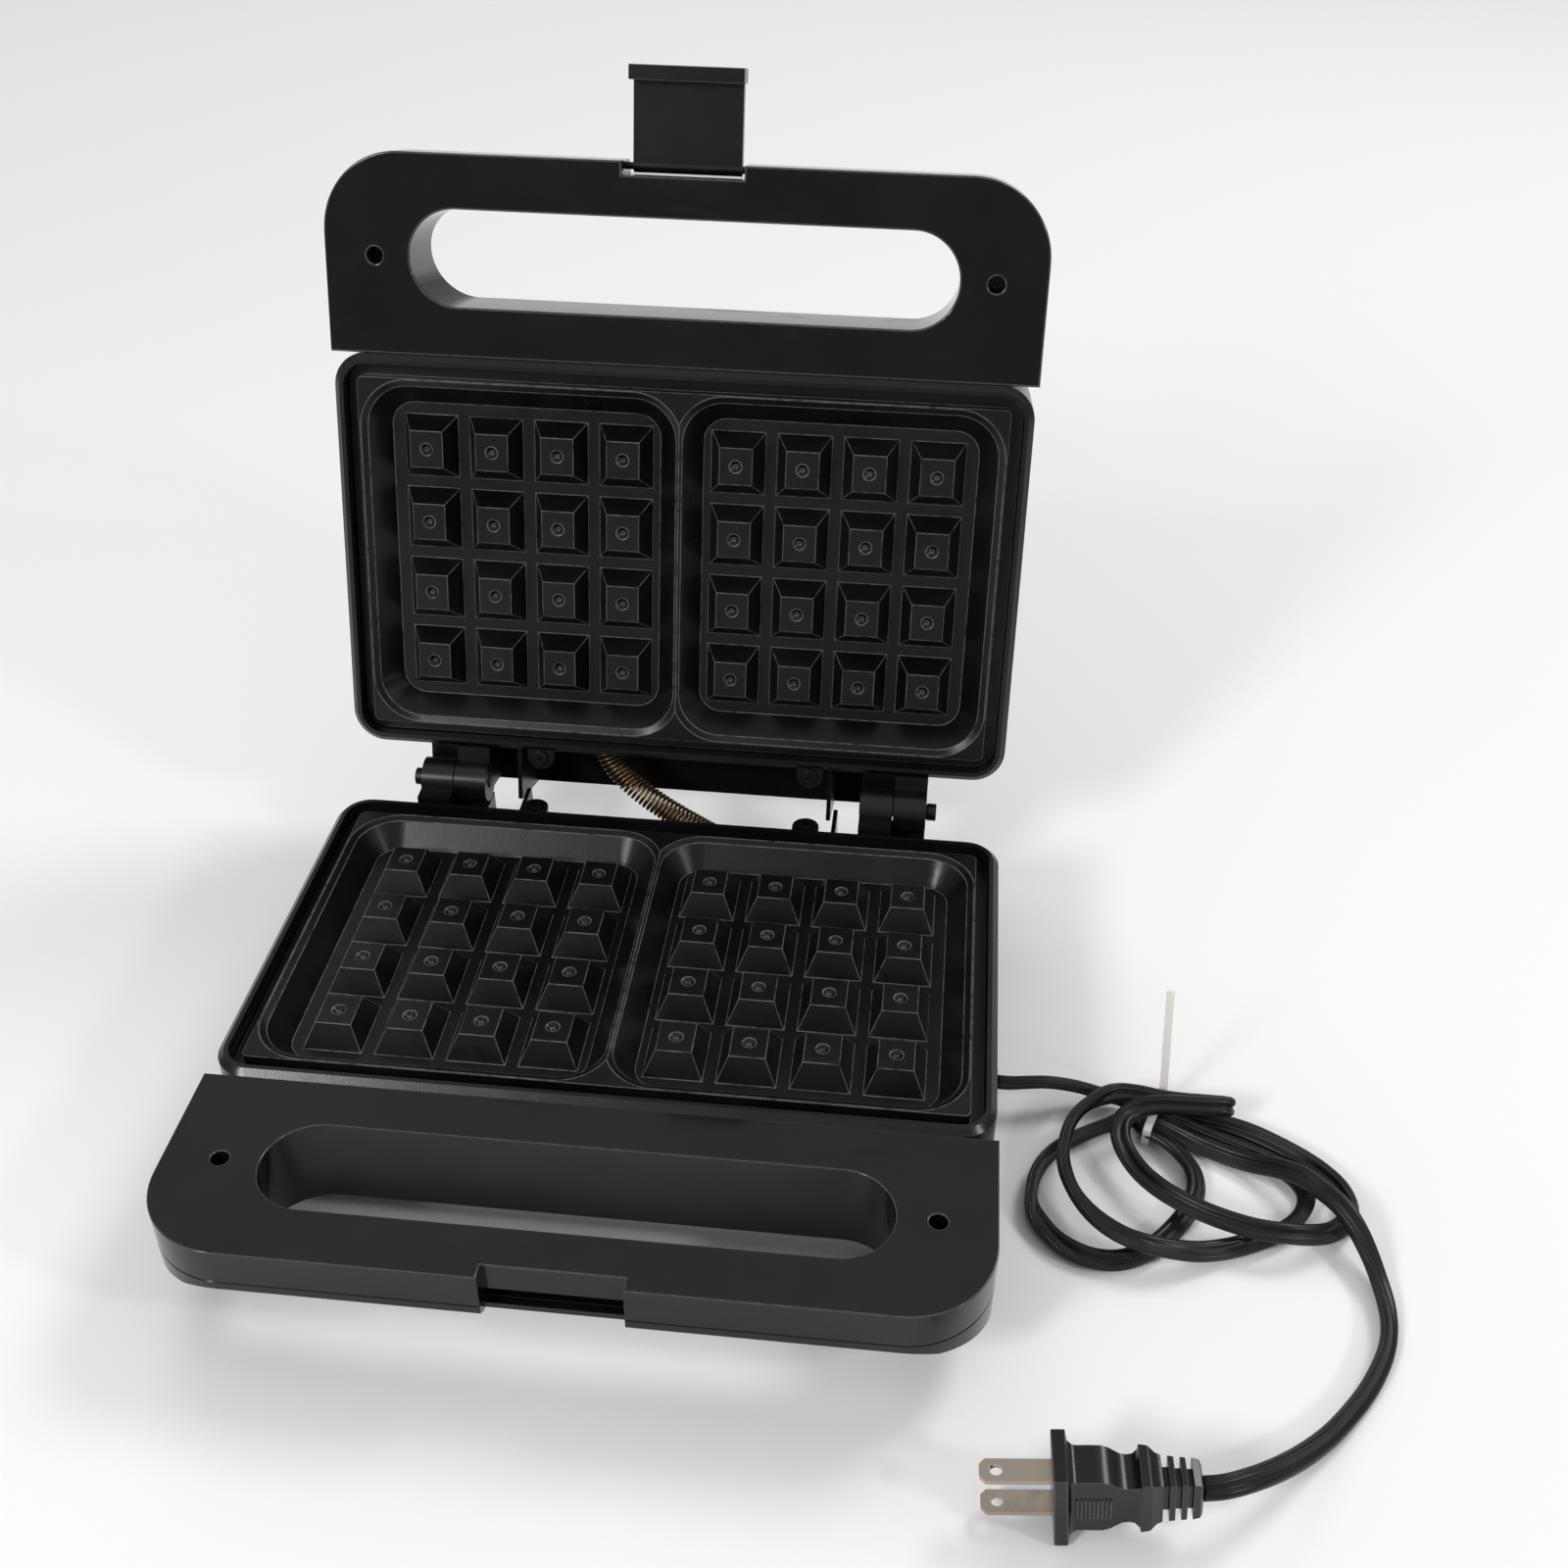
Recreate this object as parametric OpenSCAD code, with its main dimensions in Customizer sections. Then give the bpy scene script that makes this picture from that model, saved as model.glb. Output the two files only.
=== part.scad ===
// Two-slice stick waffle maker, shown open: a base and a lid made from the same
// moulding, each with a cast plate of pyramids, joined by two knuckle hinges, with a
// swinging latch on the lid's handle, a spring-sheathed wire run and a tied mains lead.
//
// Each half is drawn in its own frame: x across, y to the rear from the middle of the
// plate, z up from the plane of the pyramid tops. The lid is the same half turned over.

/* [Shell] */
// Width of each half's shell
shell_w = 229; // [205:1:260]
// Depth of each half's shell, front wall to rear wall
shell_d = 135; // [120:1:160]
// Depth of the shell below the pyramid tops
shell_h = 38; // [34:1:60]
// Thickness of the shell's side walls
shell_wall = 3.2; // [2:0.1:3.6]
// Thickness of the shell's panel
panel_t = 3; // [1.6:0.1:4]
// Radius of the shell's upright corners
shell_r = 11; // [8:0.5:14]
// Height of the shell's lip above the pyramid tops
lip_h = 2; // [1.4:0.1:4]
// Bevel on the outer edge of the lip
lip_bevel = 1.8; // [0.4:0.1:2.4]
// Gap left between the two lips when the lid is shut
lip_gap = 0.5; // [0.4:0.1:2]
// Slope round the shell's outer edge, across
edge_run = 3; // [1:0.5:5]
// Slope round the shell's outer edge, up
edge_rise = 4; // [1:0.5:8]
// How far the outer panel reaches behind the rear wall
rear_reach = 26; // [24:1:40]
// Height of the rubber feet
foot_h = 3; // [2:0.5:8]
// Diameter of the rubber feet
foot_d = 13; // [8:1:18]
// Distance of the feet from the shell's sides
foot_inset = 45.5; // [36:0.5:56]
// Distance of the plate's screws from the shell's inner sides
post_side = 19.3; // [17:0.1:24]
// Distance of the plate's screws from the shell's inner front and rear
post_end = 18.3; // [16:0.1:24]

/* [Plate] */
// Columns of pyramids in each well
columns = 4; // [2:1:4]
// Rows of pyramids in each well
rows = 4; // [2:1:4]
// Floor left beside each block of pyramids
grid_side = 3.4; // [1:0.1:6]
// Floor left in front of and behind each block of pyramids
grid_end = 4; // [1:0.1:6]
// How far each block of pyramids stands towards the middle of the plate
grid_in = 0.85; // [0:0.05:1]
// Width of the web between the two wells at their lips
web_w = 2; // [1:0.1:4]
// Width of the plate's face left beside the wells
well_rim_side = 0.6; // [0.4:0.1:4]
// Width of the plate's face left in front of and behind the wells
well_rim_end = 0.5; // [0.4:0.1:4]
// Corner radius of each well
well_r = 14; // [9:0.5:18]
// Depth of the wells below the pyramid tops
well_h = 7.5; // [5:0.5:9]
// Slope of the well's wall, across
well_run = 6.2; // [4:0.2:6.4]
// Width of the bevel round each well
bevel_w = 2.2; // [1:0.1:2.4]
// Height of the plate's border above the pyramid tops
border_h = 1; // [0.4:0.1:1.4]
// Width of the step from the plate's face to the shell's wall
border_step = 4.3; // [3.4:0.1:6]
// Pyramid top, across
top_w = 11; // [6:0.5:13]
// Pyramid top, front to rear
top_d = 12.2; // [6:0.1:14]
// Pyramid foot, across
base_w = 18; // [14:0.5:19]
// Pyramid foot, front to rear
base_d = 20.6; // [15:0.1:21.5]
// Diameter of the dimple in each pyramid
dimple_d = 4.2; // [2:0.1:5]
// Depth of that dimple
dimple_h = 1.1; // [0.5:0.1:2]
// Metal left below the wells
plate_t = 3; // [2:0.25:4]

/* [Handle] */
// How far the handles stand out beyond the shell's sides
handle_over = 0.7; // [0:0.1:2]
// How far the handles reach in front of the shell
handle_l = 62.5; // [56:0.5:80]
// Height of the handle's top above the pyramid tops
handle_top = 0.5; // [-2:0.1:1]
// Depth of the seam between the handle's two shells below the pyramid tops
seam_h = 11.5; // [10:0.5:13]
// Depth of the handle's front edge below the pyramid tops
front_h = 16.4; // [15.8:0.2:20]
// How far above the shell's panel the handle's underside meets the shell
root_rise = 4.5; // [4.5:0.5:10]
// Radius of the handle's front corners
handle_r = 25; // [12:1:32]
// Wall of the handle's shells
handle_wall = 2.5; // [1.6:0.1:3]
// Distance of the finger slot from the handle's ends
slot_end = 27.6; // [26:0.2:40]
// Width of the finger slot
slot_w = 30; // [24:0.5:32]
// Distance of the handle screws from the handle's ends
handle_screw_end = 16.2; // [14:0.2:18]

/* [Hinge and latch] */
// How far the lid stands open
open_angle = 104.13; // [90:0.01:106]
// How far the hinge axis stands behind the shell's rear wall
hinge_behind = 12.5; // [11.5:0.5:16]
// Height of the hinge axis above the parting plane
hinge_rise = 0.7; // [0:0.1:0.8]
// Radius of the hinge knuckles
knuckle_r = 7.2; // [6:0.1:7.4]
// Distance of each hinge's outer end from the shell's side
hinge_inset = 25.5; // [14:0.5:28]
// Width of each hinge's pair of knuckles
hinge_w = 23; // [18:0.5:30]
// Gap between neighbouring knuckles
knuckle_gap = 0.4; // [0.3:0.1:1]
// Diameter of the hinge pins
hinge_pin_d = 5; // [3:0.1:6]
// Running clearance of the hinge pins, on the radius
running_fit = 0.05; // [0.02:0.01:0.1]
// Width of the latch
latch_w = 34.6; // [24:0.2:36]
// Width of the latch's hook
hook_w = 36; // [26:0.2:37]
// Length of the latch from its pin to its tip
latch_l = 29.7; // [29:0.1:30.2]
// Thickness of the latch
latch_t = 3.4; // [2.4:0.1:3.5]
// Height of the hook's bar
hook_h = 4.4; // [3:0.1:4.6]
// How far the hook stands out of the latch
hook_reach = 5.4; // [3.5:0.1:6]
// Diameter of the latch pin
latch_pin_d = 2.2; // [1.6:0.1:2.6]

/* [Lead] */
// Width of the flat twin lead
lead_w = 6.2; // [5:0.1:6.3]
// Thickness of the flat twin lead
lead_t = 3.2; // [2.4:0.1:3.2]
// Diameter of the wire sheath between the halves
sheath_d = 8.8; // [6:0.2:9]
// Width of the tie round the lead
tie_w = 2.5; // [2:0.1:4]
// Thickness of the tie
tie_t = 0.8; // [0.5:0.1:0.8]
// Height of the tie's loose tail
tie_tail = 40; // [20:1:60]

/* [Hidden] */
$fn = 48;
eps = 0.01;
seat = 0.3;

// Levels in a half's own frame
part_z = lip_h + lip_gap / 2;
well_z = -well_h;
flange_z = -3.5;
flange_t = 2.5;
ledge_z = flange_z - flange_t;
ledge_t = 3;
plate_z = well_z - plate_t;
panel_z = -shell_h + panel_t;
shield_t = 0.8;
shield_rim = 6;
element_w = 6;
element_h = 5;
element_r = 16;
element_gap = 24;
tab_w = 5;
tab_t = 1;
tab_l = 9;
terminal_l = 22;
terminal_gap = 0.5;
terminal_w = 14;
terminal_h = 9;
shield_gap = 1.2;
shield_z = panel_z + terminal_h + shield_gap;
wire_hole_r = 1.5;
can_r = 8;
can_h = 6;
cap_r = 5;
cap_h = 3;
clip_l = 10;
clip_w = 8;
clip_t = 3;
fuse_l = 18;
fuse_r = 2;
fuse_gap = 0.2;
axis_base = part_z + hinge_rise;
axis_lid = part_z - hinge_rise;

// Plan sizes
inner_w = shell_w - 2 * shell_wall;
inner_d = shell_d - 2 * shell_wall;
front_y = -shell_d / 2;
rear_y = shell_d / 2;
hinge_back = rear_y + hinge_behind;
knuckle_out = shell_w / 2 - hinge_inset;
knuckle_in = knuckle_out - hinge_w;
foot_x = shell_w / 2 - foot_inset;
flange_w = inner_w - 0.8;
flange_d = inner_d - 0.6;
flange_r = shell_r - shell_wall - 0.4;
border_w = inner_w - 2 * border_step;
border_d = inner_d - 2 * border_step;
well_w = (border_w - 2 * well_rim_side - 2 * bevel_w - web_w) / 2;
well_d = border_d - 2 * well_rim_end - 2 * bevel_w;
well_gap = well_w + web_w;
grid_gap = well_gap - 2 * grid_in;
pitch_x = (well_w - 2 * well_run - 2 * grid_side - base_w) / (columns - 1);
pitch_y = (well_d - 2 * well_run - 2 * grid_end - base_d) / (rows - 1);
ledge_w = border_w - 4;
ledge_d = border_d - 4;
under_w = ledge_w - 1;
under_d = ledge_d - 1;
shield_side = 11.3;
shield_end = 10.3;
shield_w = inner_w - 2 * shield_side;
shield_d = inner_d - 2 * shield_end;
element_side = 16;
element_end = 12;
element_out_w = shield_w - 2 * element_side;
element_out_d = shield_d - 2 * element_end;
root_h = shell_h - root_rise;
handle_w = shell_w + 2 * handle_over;
slot_l = handle_w - 2 * slot_end;
handle_screw_x = handle_w / 2 - handle_screw_end;
handle_front = front_y - handle_l;
slot_y = front_y - handle_l / 2 + 0.45;
slot_r = slot_w / 2;
foot_in = 1;
front_foot_y = front_y + edge_run + foot_d / 2 + foot_in;
rear_foot_y = rear_y + rear_reach / 2 + 1;
collar_t = 2.2;

// Fastenings
post_x = inner_w / 2 - post_side;
post_y = inner_d / 2 - post_end;
post_r = 5;
screw_r = 1.5;
screw_hole_r = 1.7;
screw_head_r = 3;
screw_head_h = 2.2;
head_hole_r = 3.3;
head_sink = 8;
thread_gap = 0.05;
handle_screw_r = 1.4;
handle_head_r = 2.4;
handle_head_h = 1.8;
handle_boss_r = 4.6;
handle_hole_r = 2.6;
handle_sink = 9;
handle_thread = 7;
ear_r = 4.6;
ear_y = 2.4;
ear_t = 3.6;
ear_z = 0.6;
ear_head_h = 1.2;
rib_in = 10.3;
rib_x = knuckle_in - rib_in;
rib_t = 1.5;
rib_gap = 1;
ear_in = 8;
ear_x = rib_x - ear_in;
rib_top = 6;
rear_panel_r = 8;
vent_n = 4;
vent_pitch = 12;
vent_y = 26;
vent_l = 24;
vent_r = 1.6;

// Latch
notch_w = hook_w + 2.4;
notch_d = 4.2;
notch_y = handle_front + notch_d;
latch_y = notch_y - 2.3;
barrel_r = 1.95;
latch_in = 1.6;
catch_top = part_z * 2 + seam_h - latch_l + hook_h;
catch_z = catch_top + 0.5;
catch_h = hook_h + 1.8;
cheek_w = 6;
latch_pin_l = notch_w + 2 * cheek_w - 3;
pin_head_r = 3;
pin_head_t = 3.2;

// Lamps
lamp_x = 9;
lamp_in = 15.5;
lamp_y = front_y + lamp_in;
lamp_r = 4;
lamp_flange_r = 5.5;
lamp_flange_t = 1.5;
lamp_proud = 0.8;

// Sheath and lead exits, in a half's own frame
sheath_x = 28;
sheath_z = -14;
sheath_hole_r = 2.5;
sheath_drop = 29;
sheath_bend = 14;
sheath_dip = 5;
sheath_steps = 22;
sheath_sides = 10;
exit_y = -15;
exit_rise = 8;
exit_z = -shell_h + exit_rise;
exit_r = 4.4;
gland_r = 6.4;
gland_t = 2.1;
gland_in = 18;
terminal_x = shell_w / 2 - gland_in - terminal_gap - terminal_l;

// The whole part's frame: the floor is z = 0 and the part is centred on x and y
tops_z = foot_h + shell_h;
lid_far = [front_y + edge_run - hinge_back, part_z * 2 + shell_h - axis_base];
rear_most = hinge_back + lid_far[0] * cos(open_angle) + lid_far[1] * sin(open_angle);
grid_y = -(rear_most + handle_front) / 2;

// The lead's route on the floor, standing on edge, with its three loops and a small fold on top
// of the tie
LEAD = [[116.6, -26.8, 11], [121, -26.8, 11], [126, -26, 11], [132, -24.8, 10.6],
    [138, -23.6, 9.2], [144, -22.8, 7.4], [150, -22.8, 5.6], [156, -23.2, 4.4], [162, -24.2, 4.1],
    [168, -25.4, 4.1], [174, -26.8, 3.8], [181, -28, 3.2], [189, -29.8, 3.2], [196, -32.2, 3.2],
    [203, -36, 3.2], [210, -40.6, 3.2], [216, -45.8, 3.2], [220.5, -52, 3.2], [222, -59, 3.2],
    [220, -65.5, 3.8], [215, -71, 5.6], [208.5, -74.8, 8], [201, -76.6, 9.8], [193, -76.2, 9.9],
    [185.5, -74.2, 9.7], [178, -71.4, 9.7], [171.5, -68, 9.7], [165.5, -63.5, 9.4],
    [160.5, -57.8, 9], [157, -51.5, 8.8], [154.8, -45.5, 9.6], [155, -39.5, 10.6],
    [158, -35.4, 11.2], [162.5, -33.4, 11.4], [168, -32.6, 11.4], [175, -32, 11.4], [181, -31.5, 11.4],
    [185.4, -31, 11.4], [187.4, -30.2, 11.4], [188.1, -28.8, 11.4], [187.4, -27.4, 11.4],
    [185.4, -26.7, 11.4], [181, -26.9, 11.4], [175, -27, 11.4], [168, -26.6, 11.4],
    [161, -26.2, 11.3], [155, -26.8, 11.1], [149.5, -29.2, 10.9], [144, -33.6, 10.4],
    [140, -39.6, 10], [137.8, -47, 9.8], [137, -54.5, 9.7], [138, -62, 9.4], [141, -69.5, 9.2],
    [146, -76.5, 9.3], [152.5, -82, 9.7], [160, -84.8, 9.7], [168, -84.4, 7.8], [176, -82.2, 5.2],
    [184, -79, 3.6], [191, -75.8, 3.2], [198, -72.2, 3.2], [204.5, -67, 3.2], [209, -60.5, 3.2],
    [210, -54, 3.2], [206.8, -48, 3.2], [200.5, -43.6, 3.2], [193, -40, 3.2], [185, -36.4, 3.2],
    [178, -33.3, 3.4], [172, -30.8, 4], [167, -28.9, 4.1], [161.5, -29.2, 3.9],
    [156, -31.8, 3.3], [150, -35, 3.2], [144, -38.8, 3.2], [138.5, -43, 3.2], [133.5, -48.4, 3.2],
    [129.8, -55, 3.2], [128, -62.5, 3.2], [128.4, -70, 3.2], [131.6, -77, 3.2],
    [136.8, -82.6, 3.2], [143.5, -86, 3.2], [151, -86.6, 3.2], [158, -84, 3.2],
    [164.5, -78.8, 3.2], [170, -72.2, 3.2], [174.4, -65.2, 3.2], [177.2, -57.6, 3.2],
    [177, -50, 3.2], [174, -43.8, 3.2], [169.8, -39.6, 3.8], [166, -37.2, 4.1],
    [163.5, -36.1, 4.1], [162.2, -34.3, 4.1], [162.9, -32.6, 4.1], [165, -32.1, 4.1],
    [169, -33.1, 4], [174, -35.4, 3.5], [180, -38.6, 3.2], [188, -42.2, 3.2], [195, -45.8, 4.6],
    [201.5, -49.6, 7.4], [207.5, -54, 9.8], [213, -59.4, 10.2], [218, -65.8, 10.4],
    [221.5, -72.4, 9], [224.4, -79.4, 6.4], [226.4, -86.6, 4], [227.2, -94, 3.2],
    [226.6, -101.6, 3.2], [224.6, -109, 3.2], [221, -116.6, 3.2], [216.4, -124, 3.2],
    [210.6, -131.6, 3.6], [204, -139.6, 5.4], [196.1, -148, 9], [187.9, -155.6, 13.2],
    [180, -161.4, 16.4], [172.8, -164.9, 17.6], [167.1, -165.8, 17.2]];

// Plug, lying on one edge with its blades one above the other
plug_tip = [167.1, -165.8, 17.2];
plug_turn = 2;
plug_nod = 6;
plug_lean = 2;
plug_plate_h = 26;
plug_plate_w = 15;
plug_plate_t = 3.6;
plug_body_h = 18;
plug_body_w = 13;
plug_ribs = 4;
rib_pitch = 3.2;
collar_at = plug_ribs * rib_pitch;
plug_collar_t = 3;
plug_collar_h = 17.6;
body_at = collar_at + plug_collar_t;
body_l = 17.2;
neck_l = 8;
neck_h = 6.2;
face_at = body_at + body_l;
blade_gap = 12.7;
blade_l = 17.9;
blade_w = 6.35;
blade_t = 1.5;
blade_in = 4;
blade_hole_r = 1.6;

lead_sides = 8;

// The tie's loop round the strands, with its lock on the rear side
tie_at = [166.1, -31];
tie_turn = -20;
tie_in_y = 15.6;
tie_in_z = 6.6;
tie_lean = -5;
tie_r = 1.9;
tie_lock = 4;

// Where a half stands: the base on its feet, the lid turned over and swung open
module in_base() {
    translate([0, grid_y, tops_z]) children();
}

module in_lid() {
    translate([0, grid_y + hinge_back, tops_z + axis_base])
        rotate([-open_angle, 0, 0])
            translate([0, -hinge_back, 2 * part_z - axis_base])
                rotate([0, 180, 0])
                    children();
}

// Plan shapes
module rounded(w, d, r) {
    square([w - 2 * r, d], center = true);
    square([w, d - 2 * r], center = true);
    for (x = [-1, 1], y = [-1, 1])
        translate([x * (w / 2 - r), y * (d / 2 - r)])
            circle(r);
}

module slab(w, d, r, z, t) {
    translate([0, 0, z])
        linear_extrude(t)
            rounded(w, d, r);
}

// A rounded slab whose sides lean out by run from its foot to its top
module tray(w, d, r, run, h) {
    for (turn = [0, 90]) {
        a = (turn == 0 ? w : d) / 2;
        b = (turn == 0 ? d : w) - 2 * r;
        rotate([90, 0, turn])
            linear_extrude(b, center = true)
                polygon([[run - a, 0], [a - run, 0], [a, h], [-a, h]]);
    }
    for (x = [-1, 1], y = [-1, 1])
        translate([x * (w / 2 - r), y * (d / 2 - r), 0])
            cylinder(h = h, r1 = r - run, r2 = r);
}

module stadium(l, r) {
    square([l - 2 * r, 2 * r], center = true);
    for (x = [-1, 1])
        translate([x * (l / 2 - r), 0])
            circle(r);
}

module post(x, y, r, z0, z1) {
    translate([x, y, z0])
        cylinder(h = z1 - z0, r = r);
}

// A bar along x with the given outline in y and z
module bar(x0, x1) {
    translate([x0, 0, 0])
        rotate([90, 0, 90])
            linear_extrude(x1 - x0)
                children();
}

module block(x, y, z) {
    translate([x[0], y[0], z[0]])
        cube([x[1] - x[0], y[1] - y[0], z[1] - z[0]]);
}

// Shell of a half. own is the side of its outer knuckle, axis the hinge's height in it.
module half_shell(own, axis) {
    difference() {
        union() {
            difference() {
                union() {
                    translate([0, 0, -shell_h])
                        tray(shell_w, shell_d, shell_r, edge_run, edge_rise);
                    slab(shell_w, shell_d, shell_r, -shell_h + edge_rise,
                        shell_h - edge_rise + lip_h - lip_bevel);
                    translate([0, 0, lip_h])
                        mirror([0, 0, 1])
                            tray(shell_w, shell_d, shell_r, lip_bevel, lip_bevel);
                }
                slab(inner_w, inner_d, shell_r - shell_wall, panel_z, shell_h + lip_h);
            }
            difference() {
                slab(inner_w + 1, inner_d + 1, shell_r - shell_wall, ledge_z - ledge_t, ledge_t);
                slab(ledge_w, ledge_d, 3, ledge_z - ledge_t - 1, ledge_t + 2);
            }
            rear_panel();
            for (side = [-1, 1]) {
                rib(side, side == own);
                ear(side);
                hinge_arm(side, side == own, axis);
            }
            for (x = [-1, 1], y = [-1, 1])
                post(x * post_x, y * post_y, post_r, panel_z - eps, shield_z);
        }
        for (x = [-1, 1], y = [-1, 1]) {
            post(x * post_x, y * post_y, screw_hole_r, -shell_h, 0);
            post(x * post_x, y * post_y, head_hole_r, -shell_h - 1, -shell_h + head_sink);
        }
        for (side = [-1, 1])
            post(side * ear_x, rear_y + ear_y, screw_hole_r, -shell_h / 2, lip_h);
        translate([sheath_x, rear_y + 1, sheath_z])
            rotate([90, 0, 0])
                cylinder(h = shell_wall + 2, r = sheath_hole_r);
    }
}

module vents() {
    for (i = [-vent_n:vent_n], y = [-1, 1])
        translate([i * vent_pitch, y * vent_y, -shell_h - 1])
            linear_extrude(panel_t + 2)
                rotate(90)
                    stadium(vent_l, vent_r);
}

module rear_panel() {
    translate([0, 0, -shell_h])
        linear_extrude(panel_t)
            difference() {
                translate([0, rear_y])
                    rounded(2 * knuckle_out, 2 * rear_reach, rear_panel_r);
                translate([0, rear_y - rear_reach])
                    square([4 * knuckle_out, 2 * rear_reach - 2 * shell_wall], center = true);
            }
}

// The two halves' ribs pass beside each other with rib_gap between them
module rib(side, inner) {
    x = side * (rib_x + (inner ? -1 : 1) * (rib_t + rib_gap) / 2);
    bar(x - rib_t / 2, x + rib_t / 2)
        polygon([[rear_y - eps, -shell_h + eps], [rear_y + rear_reach - 0.5, -shell_h + eps],
            [rear_y + rear_reach - 4.2, -rib_top], [rear_y - eps, -rib_top]]);
}

module ear(side) {
    translate([side * ear_x, rear_y + ear_y, ear_z - ear_t]) {
        cylinder(h = ear_t, r = ear_r);
        translate([-ear_r, -ear_y - 1, 0])
            cube([2 * ear_r, ear_y + 1, ear_t]);
    }
}

// Both knuckles' width of arm, cut back under the other half's knuckle
module hinge_arm(side, outer, axis) {
    mid = (knuckle_in + knuckle_out) / 2;
    near = outer ? mid + knuckle_gap / 2 : knuckle_in;
    far = outer ? knuckle_out : mid - knuckle_gap / 2;
    arm_rear = hinge_back + 4;
    mirror([side < 0 ? 1 : 0, 0, 0])
        difference() {
            union() {
                block([knuckle_in, knuckle_out], [rear_y - eps, arm_rear],
                    [-shell_h + eps, axis - knuckle_r - 0.6]);
                block([near, far], [rear_y - eps, arm_rear], [-shell_h + 1, axis]);
                translate([near, hinge_back, axis])
                    rotate([0, 90, 0])
                        cylinder(h = far - near, r = knuckle_r);
            }
            translate([knuckle_in - 1, hinge_back, axis])
                rotate([0, 90, 0])
                    cylinder(h = knuckle_out - knuckle_in + 2, r = hinge_pin_d / 2 + running_fit);
        }
}

// Plate with two wells of pyramids
function spread(n, pitch) = [for (i = [0:n - 1]) (i - (n - 1) / 2) * pitch];

module pyramids() {
    intersection() {
        for (x = spread(columns, pitch_x))
            translate([x, 0, well_z - 1])
                rotate([90, 0, 0])
                    linear_extrude(pitch_y * rows, center = true)
                        trapezoid(base_w, top_w);
        for (y = spread(rows, pitch_y))
            translate([0, y, well_z - 1])
                rotate([90, 0, 90])
                    linear_extrude(pitch_x * columns, center = true)
                        trapezoid(base_d, top_d);
    }
}

module trapezoid(foot, top) {
    polygon([[-foot / 2, 0], [foot / 2, 0], [foot / 2, 1], [top / 2, well_h + 1],
        [-top / 2, well_h + 1], [-foot / 2, 1]]);
}

module plate() {
    difference() {
        union() {
            difference() {
                union() {
                    slab(border_w, border_d, 2, ledge_z, border_h - ledge_z);
                    slab(flange_w, flange_d, flange_r, ledge_z, flange_t);
                    slab(under_w, under_d, 2.5, plate_z, ledge_z - plate_z);
                }
                for (side = [-1, 1])
                    translate([side * well_gap / 2, 0, 0]) {
                        translate([0, 0, well_z])
                            tray(well_w, well_d, well_r, well_run, well_h);
                        tray(well_w + 2 * bevel_w, well_d + 2 * bevel_w, well_r + bevel_w,
                            bevel_w, border_h + eps);
                    }
            }
            for (side = [-1, 1])
                translate([side * grid_gap / 2, 0, 0])
                    pyramids();
            for (x = [-1, 1], y = [-1, 1])
                post(x * post_x, y * post_y, post_r - 1, shield_z + shield_t, plate_z + 1);
        }
        for (side = [-1, 1], x = spread(columns, pitch_x), y = spread(rows, pitch_y))
            translate([side * grid_gap / 2 + x, y, -dimple_h])
                cylinder(h = dimple_h + eps, r1 = dimple_d / 7, r2 = dimple_d / 2);
        for (x = [-1, 1], y = [-1, 1])
            post(x * post_x, y * post_y, screw_r + thread_gap, shield_z, plate_z + 0.5);
    }
}

module element() {
    z = plate_z - element_h;
    difference() {
        translate([0, 0, z])
            linear_extrude(element_h)
                difference() {
                    rounded(element_out_w, element_out_d, element_r);
                    rounded(element_out_w - 2 * element_w, element_out_d - 2 * element_w,
                        element_r - element_w);
                }
        block([-element_gap / 2, element_gap / 2], [0, element_out_d], [z - 1, plate_z + 1]);
    }
    for (side = [-1, 1])
        block([side * element_gap / 2 - tab_w / 2, side * element_gap / 2 + tab_w / 2],
            [element_out_d / 2 - element_w / 2, element_out_d / 2 + tab_l],
            [z + 2, z + 2 + tab_t]);
}

module heat_shield() {
    difference() {
        slab(shield_w, shield_d, shell_r, shield_z, shield_rim);
        slab(shield_w - 2 * shield_t, shield_d - 2 * shield_t, shell_r - shield_t,
            shield_z + shield_t, shield_rim);
        for (x = [-1, 1], y = [-1, 1])
            post(x * post_x, y * post_y, screw_hole_r, shield_z - 1, shield_z + shield_rim);
    }
}

// Screws through the panel's posts into the plate
module plate_screws() {
    for (x = [-1, 1], y = [-1, 1]) {
        post(x * post_x, y * post_y, screw_head_r, -shell_h + head_sink - screw_head_h,
            -shell_h + head_sink);
        post(x * post_x, y * post_y, screw_r, -shell_h + head_sink - eps, plate_z);
    }
}

module ear_screws() {
    for (side = [-1, 1]) {
        post(side * ear_x, rear_y + ear_y, screw_head_r - 0.5, ear_z, ear_z + ear_head_h);
        post(side * ear_x, rear_y + ear_y, screw_r, ear_z - ear_t - 3, ear_z + eps);
    }
}

// Handle outline seen from above, shrunk by inset
module handle_plan(inset) {
    r = handle_r - inset;
    w = handle_w / 2 - inset;
    y0 = handle_front + inset;
    y1 = front_y - inset;
    translate([-w, y0 + r])
        square([2 * w, y1 - y0 - r]);
    translate([-(w - r), y0])
        square([2 * (w - r), r + 1]);
    for (side = [-1, 1])
        translate([side * (w - r), y0 + r])
            circle(r, $fn = 96);
}

// Its outline seen from the side, below the seam
module handle_side(inset) {
    rise = inset * 1.05;
    polygon([[handle_front - 1, 1 - seam_h], [handle_front - 1, -front_h + 3 + rise],
        [handle_front + 2.5, -front_h + rise], [front_y + 1, -root_h + rise],
        [front_y + 1, 1 - seam_h]]);
}

module handle_slot(grow) {
    translate([0, slot_y])
        stadium(slot_l + 2 * grow, slot_r + grow);
}

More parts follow.
